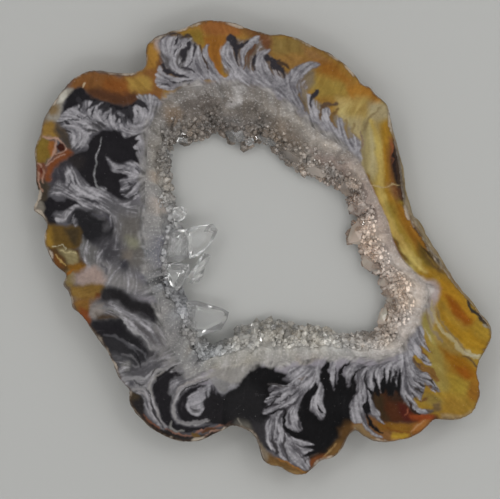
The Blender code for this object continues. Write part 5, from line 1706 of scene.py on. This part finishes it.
TAN_CRYSTALS = (
    ((1.6, 2.8, 4.2), (349,243, 348,238, 352,226, 358,221, 366,223, 369,240, 360,245), (355,232, 363,230,
     360,240)),
    ((1.6, 2.8, 4.0), (362,262, 364,256, 372,255, 382,262, 386,270, 381,272, 370,271, 364,268), (369,261,
     378,266)),
    ((1.6, 2.6, 3.6), (379,285, 382,277, 386,274, 392,280, 389,288, 383,287), (384,279, 386,285)),
    ((1.8, 2.8, 3.8), (347,209, 353,199, 358,204, 357,213, 351,212), (352,204, 354,209)),
    ((1.8, 3.2, 4.6), (354,213, 357,201, 365,198, 368,211, 359,216), (360,204, 362,209)),
    ((1.6, 2.8, 4.0), (386,296, 389,290, 398,292, 400,300, 394,304, 387,301), (390,295, 396,298)),
    ((1.6, 2.8, 4.0), (335,182, 340,170, 352,172, 358,186, 354,196, 345,195, 338,189), (342,178, 352,180,
     347,189)),
    ((1.6, 2.4, 3.4), (377,322, 380,312, 386,306, 392,312, 388,324, 380,330), (382,316, 387,313,
     384,323)),
    ((1.6, 2.6, 3.6), (282,150, 288,146, 300,152, 304,160, 298,164, 286,158), (288,151, 298,158)),
    ((1.6, 2.6, 3.6), (304,164, 312,158, 326,166, 330,174, 322,178, 308,172), (312,164, 323,172)))


def from_picture(point, millimetres):
    return (float((point[0] - PATTERN_ORIGIN[0]) * POINT),
            float((PATTERN_ORIGIN[1] - point[1]) * POINT), millimetres / 1000)


def faceted(rows, seed):
    """Flat-faced crystals: each is the hull of an outline and of a ridge above and below it."""
    random = np.random.default_rng(seed)
    spots, triangles = [], []
    for (low, middle, high), outline, ridge in rows:
        hull = bmesh.new()
        for point in np.reshape(outline, (-1, 2)):
            stray = random.uniform(-OUTLINE_STRAY, OUTLINE_STRAY)
            hull.verts.new(from_picture(point, middle + stray))
        for point in np.reshape(ridge, (-1, 2)):
            for level in (high, low):
                stray = random.uniform(-RIDGE_STRAY, RIDGE_STRAY)
                hull.verts.new(from_picture(point, level + stray))
        made = bmesh.ops.convex_hull(hull, input=hull.verts)
        loose = [part for part in made["geom_interior"] if isinstance(part, bmesh.types.BMVert)]
        bmesh.ops.delete(hull, geom=loose, context="VERTS")
        bmesh.ops.dissolve_limit(hull, angle_limit=math.radians(FLATTENED), verts=hull.verts,
                                 edges=hull.edges)
        bmesh.ops.triangulate(hull, faces=hull.faces)
        bmesh.ops.recalc_face_normals(hull, faces=hull.faces)
        hull.verts.index_update()
        triangles += [[len(spots) + v.index for v in face.verts] for face in hull.faces]
        spots += [tuple(v.co) for v in hull.verts]
        hull.free()
    return np.array(spots), np.array(triangles)


def clear_quartz():
    start, close = new_material("clear quartz")
    haze = start.node("ShaderNodeVolumeAbsorption", None,
                      {"Color": (0.8, 0.79, 0.78, 1), "Density": 30.0})
    return close({"Base Color": (0.94, 0.94, 0.93, 1), "Roughness": 0.06, "IOR": QUARTZ_IOR,
                  "Transmission Weight": 0.86}, haze)


large = build_piece("large_crystals", *faceted(LARGE_CRYSTALS, LARGE_SEED), {}, {}, clear_quartz())
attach(large, "root")
tan_spots, tan_triangles = faceted(TAN_CRYSTALS, TAN_SEED)
tan_hue = np.minimum(TAN_LIGHT * quartz_colour(tan_spots), TAN_LIGHTEST)
tan = build_piece("tan_crystals", tan_spots, tan_triangles, {}, {"hue": tan_hue},
                  drusy_quartz("tan quartz", 0.55))
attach(tan, "root")

# The table, the light and the camera
# A plain pale table, soft light from large panels at the sides, and a camera that looks
# straight down from well above, as the slice was photographed.
TABLE_SIZE, TABLE_HEIGHT = 1.6, -0.00006
VIEW_WIDTH, VIEW_CENTRE = 500, (250.0, 249.5)   # in picture points
CAMERA_HEIGHT, SENSOR = 0.60, 36.0              # metres, and millimetres
# each panel's direction in degrees, distance and height, its size and its power; the small ones
# make the crystal faces glint
PANELS = ((0, 0.34, 0.46, 0.5, 1.0), (60, 0.55, 0.85, 0.5, 1.2), (125, 0.55, 0.85, 0.5, 1.3),
          (180, 0.55, 0.80, 0.5, 0.9), (240, 0.55, 0.85, 0.5, 1.2), (300, 0.55, 0.85, 0.5, 1.3),
          (25, 0.40, 0.80, 0.06, 0.2), (150, 0.40, 0.80, 0.06, 0.25), (270, 0.35, 0.80, 0.06, 0.25))
# the room is brighter at the sides than above, and slightly blue
ROOM_ABOVE, ROOM_SIDE, ROOM_GLOW, ROOM_LEAST = 0.95, 0.45, 0.36, 0.07

bpy.ops.mesh.primitive_plane_add(size=TABLE_SIZE, location=(0, 0, TABLE_HEIGHT))
table = bpy.context.object
table.name = "table"
start, close = new_material("pale table")
table.data.materials.append(close({"Base Color": rgba(tint(174, 174, 171)), "Roughness": 0.7}))

for number, (direction, distance, height, size, power) in enumerate(PANELS):
    turn = math.radians(direction)
    light = bpy.data.lights.new(f"panel_{number}", "AREA")
    light.size = size
    light.energy = power
    panel = bpy.data.objects.new(f"panel_{number}", light)
    panel.location = (distance * math.cos(turn), distance * math.sin(turn), height)
    panel.rotation_euler = (-panel.location).to_track_quat("-Z", "Y").to_euler()
    bpy.context.scene.collection.objects.link(panel)

world = bpy.data.worlds.new("room")
bpy.context.scene.world = world
world.use_nodes = True
sky = Value(world.node_tree)
upward = sky.node("ShaderNodeSeparateXYZ", None, {0: sky.node("ShaderNodeTexCoord")}, 2)
glow = upward.ramped(ROOM_ABOVE, ROOM_SIDE) * ROOM_GLOW + ROOM_LEAST
surround = sky.node("ShaderNodeBackground", None, {
    "Color": sky.node("ShaderNodeCombineColor", None, {0: glow * 0.98, 1: glow, 2: glow * 1.02})})
world.node_tree.links.new(surround.socket, world.node_tree.nodes["World Output"].inputs["Surface"])
bpy.context.scene.view_settings.view_transform = "Standard"

camera_data = bpy.data.cameras.new("camera")
camera_data.sensor_width = SENSOR
camera_data.lens = SENSOR * (CAMERA_HEIGHT - THICKNESS / 2) / (VIEW_WIDTH * POINT)
camera_data.clip_start, camera_data.clip_end = 0.01, 10.0
camera = bpy.data.objects.new("camera", camera_data)
camera.location = from_picture(VIEW_CENTRE, 1000 * CAMERA_HEIGHT)
bpy.context.scene.collection.objects.link(camera)
bpy.context.scene.camera = camera
